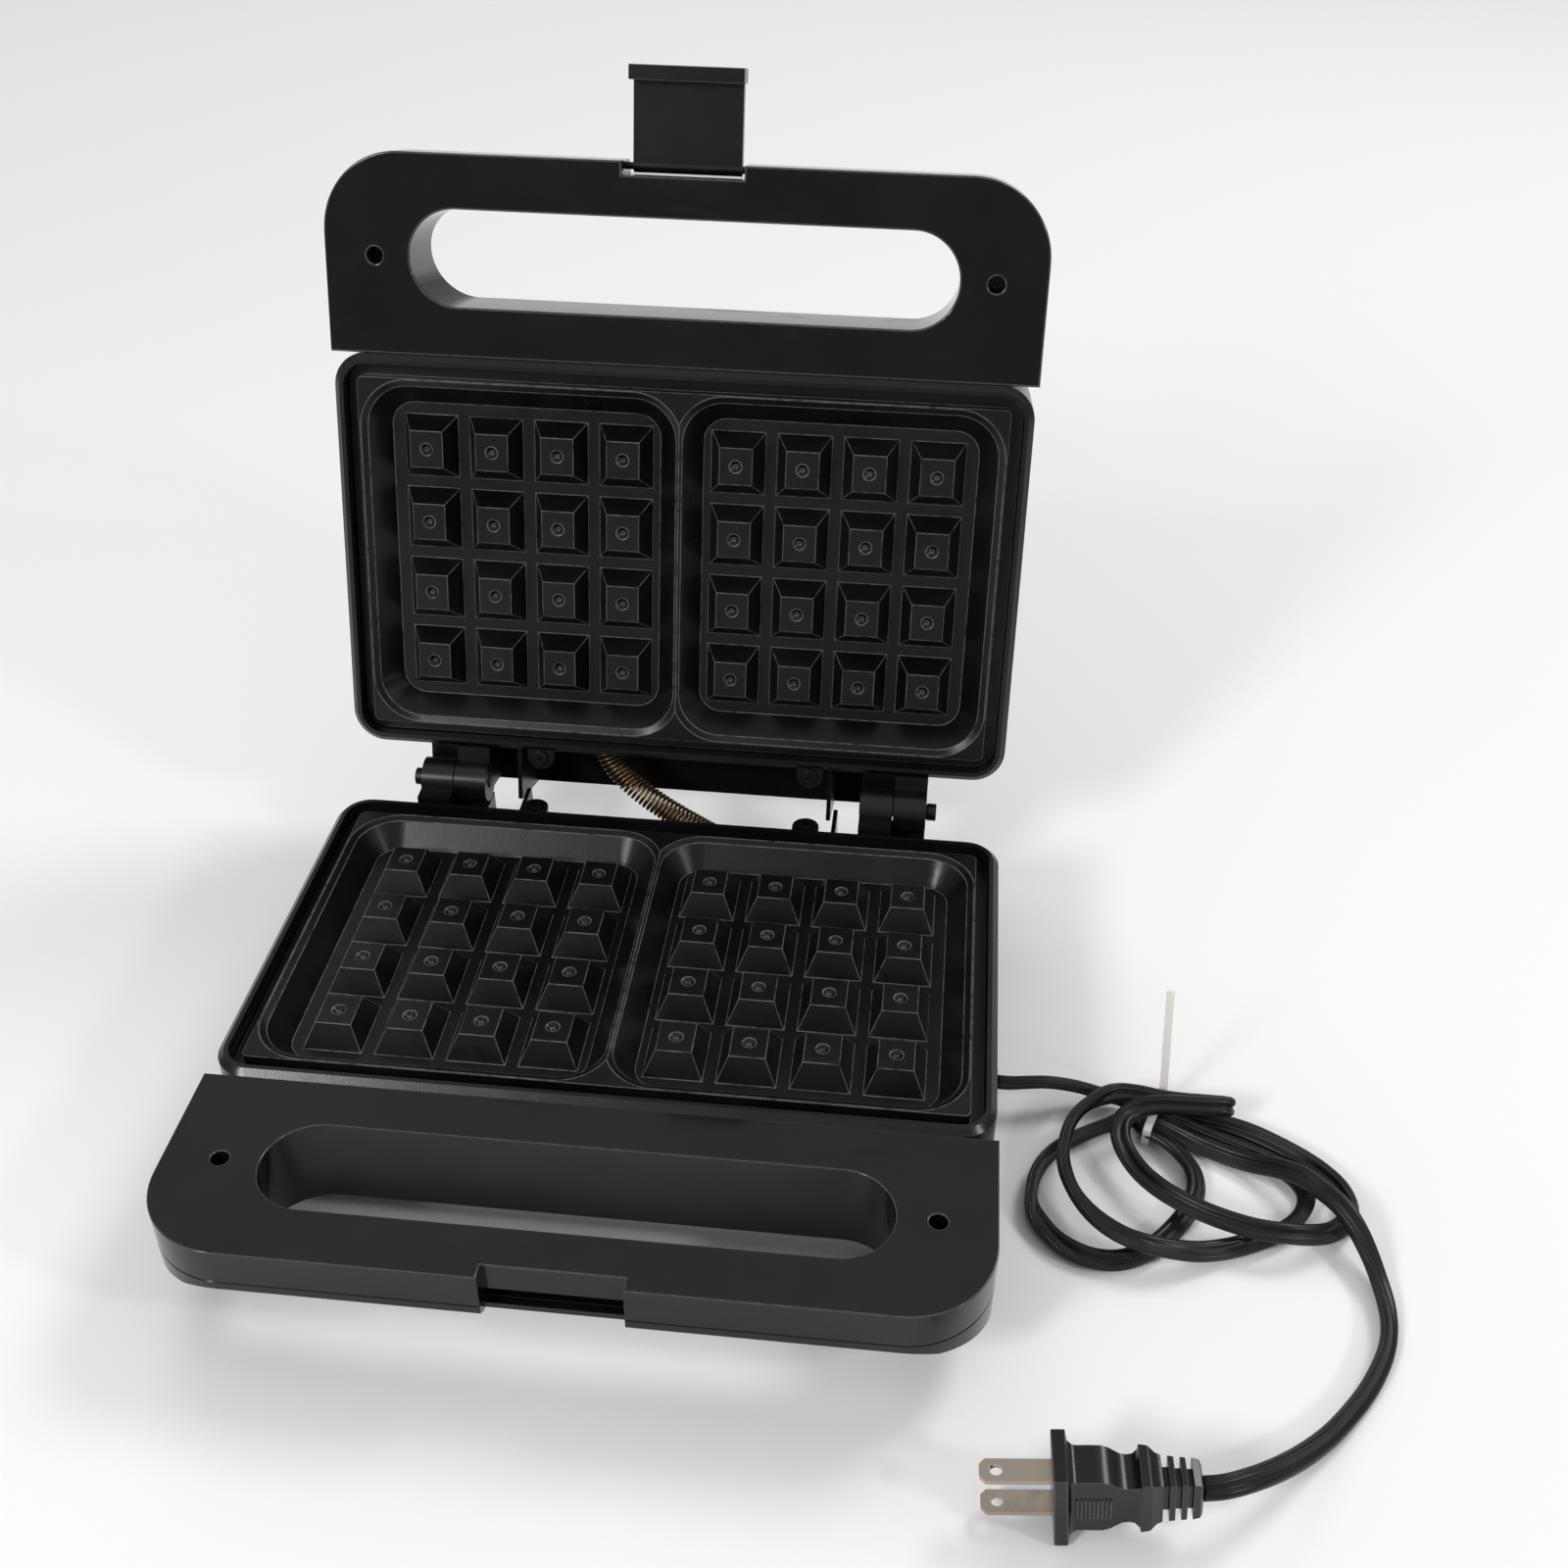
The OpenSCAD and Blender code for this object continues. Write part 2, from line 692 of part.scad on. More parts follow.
// What stands inside both handle shells: slot collar, notch wall, cheeks, screw bosses
module handle_inside() {
    handle_slot(collar_t);
    translate([-notch_w / 2 - 1, notch_y])
        square([notch_w + 2, handle_wall]);
    for (side = [-1, 1]) {
        translate([side * (notch_w / 2 + cheek_w / 2), notch_y - notch_d / 2 + 1])
            square([cheek_w, notch_d + 4], center = true);
        translate([side * handle_screw_x, slot_y])
            circle(handle_boss_r);
    }
}

module handle_cuts(latch_holes, catch) {
    translate([0, 0, -root_h - 1])
        linear_extrude(root_h + handle_top + 2) {
            handle_slot(0);
            translate([-notch_w / 2, handle_front - 2])
                square([notch_w, notch_d + 2]);
        }
    if (latch_holes)
        translate([-latch_pin_l / 2, latch_y, -seam_h])
            rotate([0, 90, 0])
                cylinder(h = latch_pin_l, r = latch_pin_d / 2 + running_fit);
    if (catch)
        block([-notch_w / 2, notch_w / 2], [notch_y - 1, notch_y + handle_wall + eps],
            [catch_z - catch_h, catch_z]);
}

module handle_upper(latch_holes, catch) {
    difference() {
        translate([0, 0, -seam_h])
            linear_extrude(seam_h + handle_top)
                handle_plan(0);
        difference() {
            translate([0, 0, -seam_h - 1])
                linear_extrude(seam_h + handle_top + 1 - handle_wall)
                    handle_plan(handle_wall);
            translate([0, 0, -seam_h])
                linear_extrude(seam_h)
                    handle_inside();
        }
        handle_cuts(latch_holes, catch);
        for (side = [-1, 1]) {
            post(side * handle_screw_x, slot_y, handle_hole_r, handle_top - handle_sink, handle_top + 1);
            post(side * handle_screw_x, slot_y, handle_screw_r + 0.2, -seam_h - 1, handle_top);
        }
    }
}

module handle_lower(latch_holes, catch) {
    difference() {
        intersection() {
            translate([0, 0, -root_h - 1])
                linear_extrude(root_h + 1 - seam_h)
                    handle_plan(0);
            bar(-handle_w, handle_w)
                handle_side(0);
        }
        difference() {
            intersection() {
                translate([0, 0, -root_h - 1])
                    linear_extrude(root_h + 2 - seam_h)
                        handle_plan(handle_wall);
                bar(-handle_w, handle_w)
                    handle_side(handle_wall);
            }
            translate([0, 0, -root_h - 1])
                linear_extrude(root_h + 1 - seam_h)
                    handle_inside();
        }
        handle_cuts(latch_holes, catch);
        for (side = [-1, 1])
            post(side * handle_screw_x, slot_y, handle_screw_r + thread_gap,
                -seam_h - handle_thread - 1, -seam_h + 1);
    }
}

module handle_screws() {
    for (side = [-1, 1]) {
        post(side * handle_screw_x, slot_y, handle_head_r, handle_top - handle_sink,
            handle_top - handle_sink + handle_head_h);
        post(side * handle_screw_x, slot_y, handle_screw_r, -seam_h - handle_thread,
            handle_top - handle_sink + eps);
    }
}

// Base
module base_shell() {
    color("#1c1c1e")
        in_base()
            difference() {
                half_shell(-1, axis_base);
                vents();
                translate([inner_w / 2 - 1, exit_y, exit_z])
                    rotate([0, 90, 0])
                        cylinder(h = shell_wall + 2, r = exit_r);
            }
}

module base_handle_top() {
    color("#161618")
        in_base()
            handle_upper(false, true);
}

module base_handle_under() {
    color("#161618")
        in_base()
            handle_lower(false, true);
}

module lower_plate() {
    color("#2a2a2c")
        in_base()
            plate();
}

module lower_element() {
    color("#77777a")
        in_base()
            element();
}

module lower_heat_shield() {
    color("#b9babd")
        in_base()
            heat_shield();
}

module thermostat() {
    color("#a9a294")
        in_base() {
            post(0, 0, can_r, plate_z - can_h, plate_z);
            post(0, 0, cap_r, plate_z - can_h - cap_h, plate_z - can_h + eps);
        }
}

module terminal_block() {
    color("#e8e4d8")
        in_base()
            difference() {
                block([terminal_x, terminal_x + terminal_l],
                    [exit_y - terminal_w / 2, exit_y + terminal_w / 2],
                    [panel_z, panel_z + terminal_h]);
                for (y = [-1, 1])
                    translate([terminal_x - 1, exit_y + y * terminal_w / 4, panel_z + terminal_h / 2])
                        rotate([0, 90, 0])
                            cylinder(h = terminal_l + 2, r = wire_hole_r);
            }
}

module base_plate_screws() {
    color("silver")
        in_base()
            plate_screws();
}

module base_handle_screws() {
    color("silver")
        in_base()
            handle_screws();
}

module base_ear_screws() {
    color("silver")
        in_base()
            ear_screws();
}

module rubber_feet() {
    color("#101011")
        in_base()
            for (side = [-1, 1], y = [front_foot_y, rear_foot_y])
                translate([side * foot_x, y, -shell_h - foot_h])
                    cylinder(h = foot_h, r1 = foot_d / 2 - 0.8, r2 = foot_d / 2);
}

module hinge_pins() {
    color("#8b8b88")
        in_base()
            for (side = [-1, 1])
                translate([side * (knuckle_in + knuckle_out) / 2, hinge_back, axis_base])
                    rotate([0, side * 90, 0]) {
                        pin_l = knuckle_out - knuckle_in + 2 * seat;
                        translate([0, 0, -pin_l / 2])
                            cylinder(h = pin_l, r = hinge_pin_d / 2);
                        translate([0, 0, pin_l / 2 - eps])
                            cylinder(h = pin_head_t, r = pin_head_r);
                    }
}

// Bushing that grips the lead, flanged outside and tapering into the shell
module cord_gland() {
    color("#141415")
        in_base()
            translate([shell_w / 2, exit_y, exit_z])
                rotate([0, 90, 0]) {
                    cylinder(h = gland_t, r1 = gland_r, r2 = gland_r - 1);
                    translate([0, 0, -shell_wall - eps])
                        cylinder(h = shell_wall + 2 * eps, r = exit_r - thread_gap);
                    translate([0, 0, -gland_in])
                        cylinder(h = gland_in - shell_wall, r1 = exit_r - 1.4, r2 = exit_r - thread_gap);
                }
}

// Lid
module lid_shell() {
    color("#1c1c1e")
        in_lid()
            difference() {
                half_shell(-1, axis_lid);
                for (side = [-1, 1])
                    post(side * lamp_x, lamp_y, lamp_r + thread_gap, -shell_h - 1, 0);
            }
}

module lid_handle_inner() {
    color("#161618")
        in_lid()
            handle_upper(true, false);
}

module lid_handle_outer() {
    color("#161618")
        in_lid()
            handle_lower(true, false);
}

module upper_plate() {
    color("#2a2a2c")
        in_lid()
            plate();
}

module upper_element() {
    color("#77777a")
        in_lid()
            element();
}

module upper_heat_shield() {
    color("#b9babd")
        in_lid()
            heat_shield();
}

module thermal_fuse() {
    color("#c9c4b4")
        in_lid() {
            block([-clip_l / 2, clip_l / 2], [-clip_w / 2, clip_w / 2], [plate_z - clip_t, plate_z]);
            translate([-fuse_l / 2, 0, plate_z - clip_t - fuse_r + fuse_gap])
                rotate([0, 90, 0])
                    cylinder(h = fuse_l, r = fuse_r);
        }
}

module lid_plate_screws() {
    color("silver")
        in_lid()
            plate_screws();
}

module lid_handle_screws() {
    color("silver")
        in_lid()
            handle_screws();
}

module lid_ear_screws() {
    color("silver")
        in_lid()
            ear_screws();
}

module lamp(side) {
    post(side * lamp_x, lamp_y, lamp_r, -shell_h - lamp_proud, panel_z + eps);
    post(side * lamp_x, lamp_y, lamp_flange_r, panel_z, panel_z + lamp_flange_t);
}

module power_lamp() {
    color("#c41c16")
        in_lid()
            lamp(-1);
}

module ready_lamp() {
    color("#2f9a3c")
        in_lid()
            lamp(1);
}

module latch_pin() {
    color("silver")
        in_lid()
            translate([-latch_pin_l / 2 + seat, latch_y, -seam_h])
                rotate([0, 90, 0])
                    cylinder(h = latch_pin_l - 2 * seat, r = latch_pin_d / 2);
}

// Latch, flipped out in front of the lid's handle, with its hook bar at the tip
module latch() {
    slit_w = 17;
    slit_h = 1.8;
    color("#232325")
        in_lid()
            translate([0, latch_y, -seam_h])
                difference() {
                    union() {
                        block([-latch_w / 2, latch_w / 2], [-latch_l, 0],
                            [latch_in - latch_t, latch_in]);
                        block([-hook_w / 2, hook_w / 2], [-latch_l, hook_h - latch_l],
                            [latch_in - latch_t, latch_in + hook_reach]);
                        translate([-latch_w / 2, 0, 0])
                            rotate([0, 90, 0])
                                cylinder(h = latch_w, r = barrel_r);
                    }
                    translate([-latch_w / 2 - 1, 0, 0])
                        rotate([0, 90, 0])
                            cylinder(h = latch_w + 2, r = latch_pin_d / 2 + running_fit);
                    block([-slit_w / 2, slit_w / 2], [hook_h - latch_l - slit_h, hook_h - latch_l],
                        [latch_in - latch_t - 1, latch_in + 1]);
                }
}

// Tubes swept along points
function unit(v) = v / norm(v);

function way(p, i) = unit(p[min(i + 1, len(p) - 1)] - p[max(i - 1, 0)]);

function ring(c, dir, up, w, h, n) =
    let (side = unit(cross(dir, up)), top = cross(side, dir))
    [for (k = [0:n - 1])
        let (a = 360 * (k + 0.5) / n)
        c + side * (w / 2 / cos(180 / n)) * cos(a) + top * (h / 2 / cos(180 / n)) * sin(a)];

module tube(p, dirs, up, w, h, n) {
    points = [for (i = [0:len(p) - 1]) each ring(p[i], dirs[i], up, w, h, n)];
    last = (len(p) - 1) * n;
    sides = [for (i = [0:len(p) - 2], k = [0:n - 1])
        let (m = (k + 1) % n)
        each [[i * n + k, (i + 1) * n + m, i * n + m], [i * n + k, (i + 1) * n + k, (i + 1) * n + m]]];
    ends = [[for (k = [0:n - 1]) k], [for (k = [n - 1:-1:0]) last + k]];
    polyhedron(points, concat(ends, sides), convexity = 10);
}

function swung(y, z) = [
    hinge_back + (y - hinge_back) * cos(open_angle) + (z - axis_base) * sin(open_angle),
    axis_base - (y - hinge_back) * sin(open_angle) + (z - axis_base) * cos(open_angle)];

function bezier(a, b, c, d, t) =
    a * pow(1 - t, 3) + 3 * b * pow(1 - t, 2) * t + 3 * c * (1 - t) * t * t + d * pow(t, 3);

module wire_sheath() {
    hole = swung(rear_y, 2 * part_z - sheath_z);
    down = [0, cos(open_angle), -sin(open_angle)];
    a = [-sheath_x, hole[0], hole[1]];
    d = [sheath_x, rear_y, sheath_z];
    b = a + down * sheath_drop;
    c = d + [0, sheath_bend, -sheath_dip];
    p = [for (i = [0:sheath_steps]) bezier(a, b, c, d, i / sheath_steps)];
    dirs = [for (i = [0:sheath_steps])
        i == 0 ? down : i == sheath_steps ? [0, -1, 0] : way(p, i)];
    color("#8a6a3c")
        in_base()
            tube(p, dirs, [1, 0, 0], sheath_d, sheath_d, sheath_sides);
}

module cord() {
    n = len(LEAD) - 1;
    out = [-cos(plug_turn) * cos(plug_nod), -sin(plug_turn) * cos(plug_nod), -sin(plug_nod)];
    dirs = [for (i = [0:n]) i == 0 ? [1, 0, 0] : i == n ? out : way(LEAD, i)];
    color("#17171a")
        tube(LEAD, dirs, [0, 0, 1], lead_t, lead_w, lead_sides);
}

module cable_tie() {
    out_y = tie_in_y + 2 * tie_t;
    out_z = tie_in_z + 2 * tie_t;
    color("#e9e6da")
        translate([tie_at[0], tie_at[1], 0])
            rotate([0, 0, tie_turn]) {
                translate([0, 0, out_z / 2])
                    bar(-tie_w / 2, tie_w / 2)
                        difference() {
                            rounded(out_y, out_z, tie_r + tie_t);
                            rounded(tie_in_y, tie_in_z, tie_r);
                        }
                block([-tie_lock / 2, tie_lock / 2], [out_y / 2 - eps, out_y / 2 + tie_lock],
                    [out_z / 2 - tie_lock / 2, out_z / 2 + tie_lock / 2]);
                translate([0, out_y / 2 + tie_lock - 2 * tie_t, out_z / 2])
                    rotate([0, tie_lean, 0])
                        block([-tie_w / 2, tie_w / 2], [0, tie_t], [0, tie_tail + out_z / 2]);
            }
}

// Plug, drawn from the end of the lead towards its blades
module in_plug() {
    translate(plug_tip)
        rotate([plug_lean, plug_nod, 180 + plug_turn])
            children();
}

module plug_body() {
    color("#151517")
        in_plug()
            difference() {
                union() {
                    for (i = [0:plug_ribs - 1])
                        translate([i * rib_pitch, 0, 0]) {
                            size = [lead_t + 4.4 + i * 0.7, 10.5 + i * 1.2];
                            translate([0, -size[0] / 2, -size[1] / 2])
                                cube([rib_pitch * 0.62, size[0], size[1]]);
                        }
                    translate([0, -lead_t / 2 - 1, -lead_w / 2 - 1])
                        cube([body_at, lead_t + 2, lead_w + 2]);
                    translate([collar_at, -plug_body_w / 2, -plug_collar_h / 2])
                        cube([plug_collar_t, plug_body_w, plug_collar_h]);
                    translate([body_at - eps, 0, 0])
                        rotate([90, 0, 0])
                            linear_extrude(plug_body_w - 1, center = true)
                                polygon([[0, -neck_h], [3, -neck_h], [neck_l, -plug_body_h / 2],
                                    [body_l + eps, -plug_body_h / 2],
                                    [body_l + eps, plug_body_h / 2],
                                    [neck_l, plug_body_h / 2], [3, neck_h], [0, neck_h]]);
                    translate([face_at, -plug_plate_w / 2, -plug_plate_h / 2])
                        cube([plug_plate_t, plug_plate_w, plug_plate_h]);
                }
                for (z = [-1, 1])
                    translate([face_at - blade_in, -blade_w / 2 - thread_gap,
                            z * blade_gap / 2 - blade_t / 2 - thread_gap])
                        cube([blade_in + plug_plate_t + 1, blade_w + 2 * thread_gap,
                            blade_t + 2 * thread_gap]);
            }
}

module plug_blades() {
    x0 = face_at - blade_in;
    x1 = face_at + plug_plate_t + blade_l;
    color("#c9b79a")
        in_plug()
            for (z = [-1, 1])
                translate([0, 0, z * blade_gap / 2 - blade_t / 2])
                    linear_extrude(blade_t)
                        difference() {
                            polygon([[x0, -blade_w / 2], [x1 - 1.5, -blade_w / 2], [x1, -blade_w / 2 + 1.5],
                                [x1, blade_w / 2 - 1.5], [x1 - 1.5, blade_w / 2], [x0, blade_w / 2]]);
                            translate([x1 - 4.2, 0])
                                circle(blade_hole_r);
                        }
}

base_shell();
base_handle_top();
base_handle_under();
lower_plate();
lower_element();
lower_heat_shield();
thermostat();
terminal_block();
base_plate_screws();
base_handle_screws();
base_ear_screws();
rubber_feet();
hinge_pins();
cord_gland();
lid_shell();
lid_handle_inner();
lid_handle_outer();
upper_plate();
upper_element();
upper_heat_shield();
thermal_fuse();
lid_plate_screws();
lid_handle_screws();
lid_ear_screws();
power_lamp();
ready_lamp();
latch_pin();
latch();
wire_sheath();
cord();
cable_tie();
plug_body();
plug_blades();
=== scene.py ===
"""Two-slice waffle maker: dresses the loaded frame with rounded mouldings, a ribbed twin
lead, a coiled wire sheath, screws with cross recesses and the finishes of each piece."""

import math
from contextlib import contextmanager

import bmesh
import bpy
from bpy.props import FloatProperty, FloatVectorProperty, PointerProperty
from mathutils import Euler, Matrix, Vector
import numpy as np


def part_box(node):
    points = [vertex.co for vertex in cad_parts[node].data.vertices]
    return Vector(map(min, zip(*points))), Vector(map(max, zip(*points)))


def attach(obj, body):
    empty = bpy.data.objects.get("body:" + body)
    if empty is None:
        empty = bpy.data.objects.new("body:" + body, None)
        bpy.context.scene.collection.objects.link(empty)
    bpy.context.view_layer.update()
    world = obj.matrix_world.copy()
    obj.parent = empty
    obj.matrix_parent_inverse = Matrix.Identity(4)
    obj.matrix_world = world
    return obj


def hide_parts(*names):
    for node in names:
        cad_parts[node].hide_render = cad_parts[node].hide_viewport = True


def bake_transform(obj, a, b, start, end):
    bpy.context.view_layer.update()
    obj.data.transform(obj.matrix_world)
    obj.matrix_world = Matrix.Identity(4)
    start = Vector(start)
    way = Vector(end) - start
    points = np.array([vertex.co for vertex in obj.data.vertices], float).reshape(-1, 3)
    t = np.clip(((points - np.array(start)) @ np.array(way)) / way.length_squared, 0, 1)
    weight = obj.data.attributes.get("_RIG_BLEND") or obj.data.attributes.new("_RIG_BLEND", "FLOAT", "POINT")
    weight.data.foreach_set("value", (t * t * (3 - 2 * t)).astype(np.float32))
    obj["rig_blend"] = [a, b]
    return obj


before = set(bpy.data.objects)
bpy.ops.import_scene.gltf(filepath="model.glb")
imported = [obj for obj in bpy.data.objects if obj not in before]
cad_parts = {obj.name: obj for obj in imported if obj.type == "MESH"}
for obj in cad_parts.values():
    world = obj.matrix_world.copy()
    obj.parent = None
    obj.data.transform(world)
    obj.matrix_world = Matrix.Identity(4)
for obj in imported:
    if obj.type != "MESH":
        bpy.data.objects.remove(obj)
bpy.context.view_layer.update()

bl_info = {
    "name": "Two-slice waffle maker",
    "version": (1, 0, 0),
    "blender": (4, 5, 0),
    "location": "View3D > Sidebar > Waffle maker",
    "description": "Builds the visible pieces and finishes of a two-slice waffle maker",
    "category": "Object",
}

# ------------------------------------------------------------------ sizes and places
# Lengths are in millimetres and angles in degrees, unless a comment says otherwise.

MM = 0.001

# A half's own frame: the middle of its plate at x = y = 0, its pyramids' tops at z = 0 and
# its handle towards -y. The lid is the same half turned over and swung open.
GRID_Y = sum(corner.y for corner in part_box("lower_plate")) / 2 / MM
TOPS_Z = 41.0
PART_Z = 2.25  # the plane at which the halves part
HINGE_BACK = 80.0  # of the hinge axis behind the plate's middle
HINGE_RISE = 0.7  # of the hinge axis above the parting plane
AXIS_Z = PART_Z + HINGE_RISE
OPEN_ANGLE = 104.13

SHELL_D = 135.0
SHELL_H = 38.0
FRONT_Y = -SHELL_D / 2
REAR_Y = SHELL_D / 2
WELL_H = 7.5

HANDLE_FRONT = -130.0
HANDLE_HALF_W = 115.2
HANDLE_R = 25.0  # of its front corners
HANDLE_TOP = 0.5  # of its face towards the other half
SEAM_H = 11.5  # of the seam between a handle's shells, below the pyramids' tops

# Screws: where they stand, how deep their heads sit and how high the heads are
POST_X = 92.0
POST_Y = 46.0
POST_SINK = 8.0
POST_HEAD_H = 2.2
HANDLE_SCREW_X = 99.0
HANDLE_SCREW_Y = -98.3
HANDLE_SINK = 9.0
HANDLE_HEAD_H = 1.8
EAR_X = 47.7
EAR_Y = REAR_Y + 2.4
EAR_Z = 0.6
EAR_HEAD_H = 1.2

# Cross recess of a screw head, its length as a share of the head's radius
RECESS_REACH = 1.15
RECESS_W = 0.62
RECESS_H = 1.3
RECESS_MIDDLE = 0.45  # depth of its middle under the head's top
RECESS_TURN = 0.5  # in radians

# The wire sheath runs from a hole in each half's rear wall; the pulls bow it outwards
SHEATH_D = 8.8
SHEATH_HOLE = (28.0, REAR_Y, -14.0)
SHEATH_LID_PULL = (-5.0, 24.0, 0.0)
SHEATH_BASE_PULL = (-3.0, 14.0, -4.0)
SHEATH_STEPS = 160
COIL_SIDES = 14  # steps in a turn of the coil
WIRE_SIDES = 8

# Merging and rounding
MERGE = 2e-6  # in metres: points of a CAD mesh this close are one
FLAT = 0.6  # faces of a CAD mesh that turn less than this are one
SLIVER = 5e-6  # in metres: rounding leaves no edge shorter than this
FLAT_WEIGHT = 80  # how far large faces lead the shading of those beside them
NEAR = 0.2  # an edge whose middle is this close to a plane lies on it
SEAM_EDGE = 0.35
SCREW_EDGE = 0.35
RIM_BAND = 0.6  # a shell's edges are rounded this deep from its rim,
PANEL_BAND = 5.0  # this near its outer panel
REAR_CLEAR = 1.0  # and this far behind its rear wall
OUTER_BAND = 3.2  # a handle's outer edges are rounded this far past the seam
HANDLE_CLEAR = 0.5  # and this far in front of the shell
SIDE_DEPTH = 0.4  # its seam's edges lie at most this deep inside its outline
CORNER_DEPTH = 0.5  # and this deep at its round corners
EDGE_WEAR_AND_HIGHLIGHT = "rubbed"  # the attribute that marks the faces which rounding adds, which the finishes paint lighter: partly wear on the plates, and a painted highlight on the plates and the plastic

# The lead's route, exit to plug
LEAD = [
    (116.6, -26.8, 11), (121, -26.8, 11), (126, -26, 11), (132, -24.8, 10.6),
    (138, -23.6, 9.2), (144, -22.8, 7.4), (150, -22.8, 5.6), (156, -23.2, 4.4), (162, -24.2, 4.1),
    (168, -25.4, 4.1), (174, -26.8, 3.8), (181, -28, 3.2), (189, -29.8, 3.2), (196, -32.2, 3.2),
    (203, -36, 3.2), (210, -40.6, 3.2), (216, -45.8, 3.2), (220.5, -52, 3.2), (222, -59, 3.2),
    (220, -65.5, 3.8), (215, -71, 5.6), (208.5, -74.8, 8), (201, -76.6, 9.8), (193, -76.2, 9.9),
    (185.5, -74.2, 9.7), (178, -71.4, 9.7), (171.5, -68, 9.7), (165.5, -63.5, 9.4),
    (160.5, -57.8, 9), (157, -51.5, 8.8), (154.8, -45.5, 9.6), (155, -39.5, 10.6),
    (158, -35.4, 11.4), (162.5, -33.2, 12.2), (168, -32.2, 12.6), (175, -31.8, 12.6),
    (181, -31.5, 12.6),
    (186, -31.1, 12.5), (188.2, -30.4, 12), (188.8, -29.4, 11.2), (188, -28.5, 10.4),
    (185.4, -28.1, 10), (181, -28, 9.9), (175, -28, 9.9), (168, -27.6, 10),
    (161, -26.6, 10.3), (155, -26.8, 10.6), (149.5, -29.2, 10.8), (144, -33.6, 10.4),
    (140, -39.6, 10), (137.8, -47, 9.8), (137, -54.5, 9.7), (138, -62, 9.4), (141, -69.5, 9.2),
    (146, -76.5, 9.3), (152.5, -82, 9.7), (160, -84.8, 9.7), (168, -84.4, 7.8), (176, -82.2, 5.2),
    (184, -79, 3.6), (191, -75.8, 3.2), (198, -72.2, 3.2), (204.5, -67, 3.2), (209, -60.5, 3.2),
    (210, -54, 3.2), (206.8, -48, 3.2), (200.5, -43.6, 3.2), (193, -40, 3.2), (185, -36.4, 3.2),
    (178, -33.3, 3.4), (172, -30.8, 4), (167, -28.9, 4.1), (161.5, -29.2, 3.9),
    (156, -31.8, 3.3), (150, -35, 3.2), (144, -38.8, 3.2), (138.5, -43, 3.2), (133.5, -48.4, 3.2),
    (129.8, -55, 3.2), (128, -62.5, 3.2), (128.4, -70, 3.2), (131.6, -77, 3.2),
    (136.8, -82.6, 3.2), (143.5, -86, 3.2), (151, -86.6, 3.2), (158, -84, 3.2),
    (164.5, -78.8, 3.2), (170, -72.2, 3.2), (174.4, -65.2, 3.2), (177.2, -57.6, 3.2),
    (177, -50, 3.2), (174, -43.8, 3.2), (169.8, -39.6, 3.8), (166, -37.2, 4.1),
    (163.5, -36.1, 4.1), (162.2, -34.3, 4.1), (162.9, -32.6, 4.1), (165, -32.1, 4.1),
    (169, -33.1, 4), (174, -35.4, 3.5), (180, -38.6, 3.2), (188, -42.2, 3.2), (195, -45.8, 4.6),
    (201.5, -49.6, 7.4), (207.5, -54, 9.8), (213, -59.4, 10.2), (218, -65.8, 10.4),
    (221.5, -72.4, 9), (224.4, -79.4, 6.4), (226.4, -86.6, 4), (227.2, -94, 3.2),
    (226.6, -101.6, 3.2), (224.6, -109, 3.2), (221, -116.6, 3.2), (216.4, -124, 3.2),
    (210.6, -131.6, 3.6), (204, -139.6, 5.4), (196.1, -148, 9), (187.9, -155.6, 13.2),
    (180, -161.4, 16.4), (172.8, -164.9, 17.6), (167.1, -165.8, 17.2),
]
LEAD_STEP = 1.6

# Lean of the lead's broad side from upright, at points of that route
LEAD_LEAN = (
    (0, 20), (5, 30), (12, -45), (17, -55), (19, -100), (21, -130), (28, -125), (30, -105),
    (31, -84), (32, -60), (34, -47), (37, -47), (39, 0), (41, 45), (46, 45), (48, -10), (50, 10),
    (52, 40), (55, 90), (59, 120), (63, 42), (65, 50), (72, 50), (74, -8), (79, 13), (81, 90),
    (83, 130), (87, 115), (96, 120), (103, 132), (106, 110), (109, 62), (112, 38), (115, 36),
    (118, 50), (121, 44),
)

# The lead's jacket: two round cores with a web between them
JACKET_SIDES = 36
JACKET_RIBS = 20  # round the whole jacket, of which the upper side shows its half
WAIST_DEPTH = 0.5  # as a share of the cores' radius
WAIST_POWER = 1.8

# The plug: where its lead end is and how it lies
PLUG_TIP = (167.1, -165.8, 17.2)
PLUG_TURN = 2.0
PLUG_NOD = 6.0
PLUG_LEAN = 2.0

# Along the plug from its lead end: distance, half width and half height
PLUG_STATIONS = (
    (0.0, 3.2, 5.2), (0.5, 3.8, 6.4), (2.4, 4.0, 6.9), (2.6, 2.5, 4.4), (3.6, 2.5, 4.4),
    (3.8, 4.0, 6.9), (5.2, 4.1, 7.0), (5.4, 2.6, 4.5), (6.5, 2.6, 4.5), (6.7, 4.2, 7.0),
    (8.2, 4.4, 7.1), (8.4, 2.8, 4.7), (9.6, 2.8, 4.7), (9.8, 4.5, 7.2), (11.2, 4.9, 7.6),
    (12.4, 5.6, 8.6), (12.9, 5.8, 9.1), (15.2, 6.1, 9.2), (15.5, 5.5, 8.0), (16.6, 5.1, 6.9),
    (18.0, 5.0, 6.6), (19.6, 5.0, 6.9), (21.2, 5.2, 7.9), (22.6, 5.3, 9.0), (24.4, 5.4, 9.6),
    (26.5, 5.4, 9.7), (30.6, 5.4, 9.6), (31.6, 5.6, 9.8), (32.5, 6.0, 10.5), (32.9, 6.8, 12.4),
    (33.0, 7.3, 12.9), (33.2, 7.5, 13.0), (36.4, 7.5, 13.0), (36.6, 7.3, 12.8),
)
PLUG_EDGE = 0.55

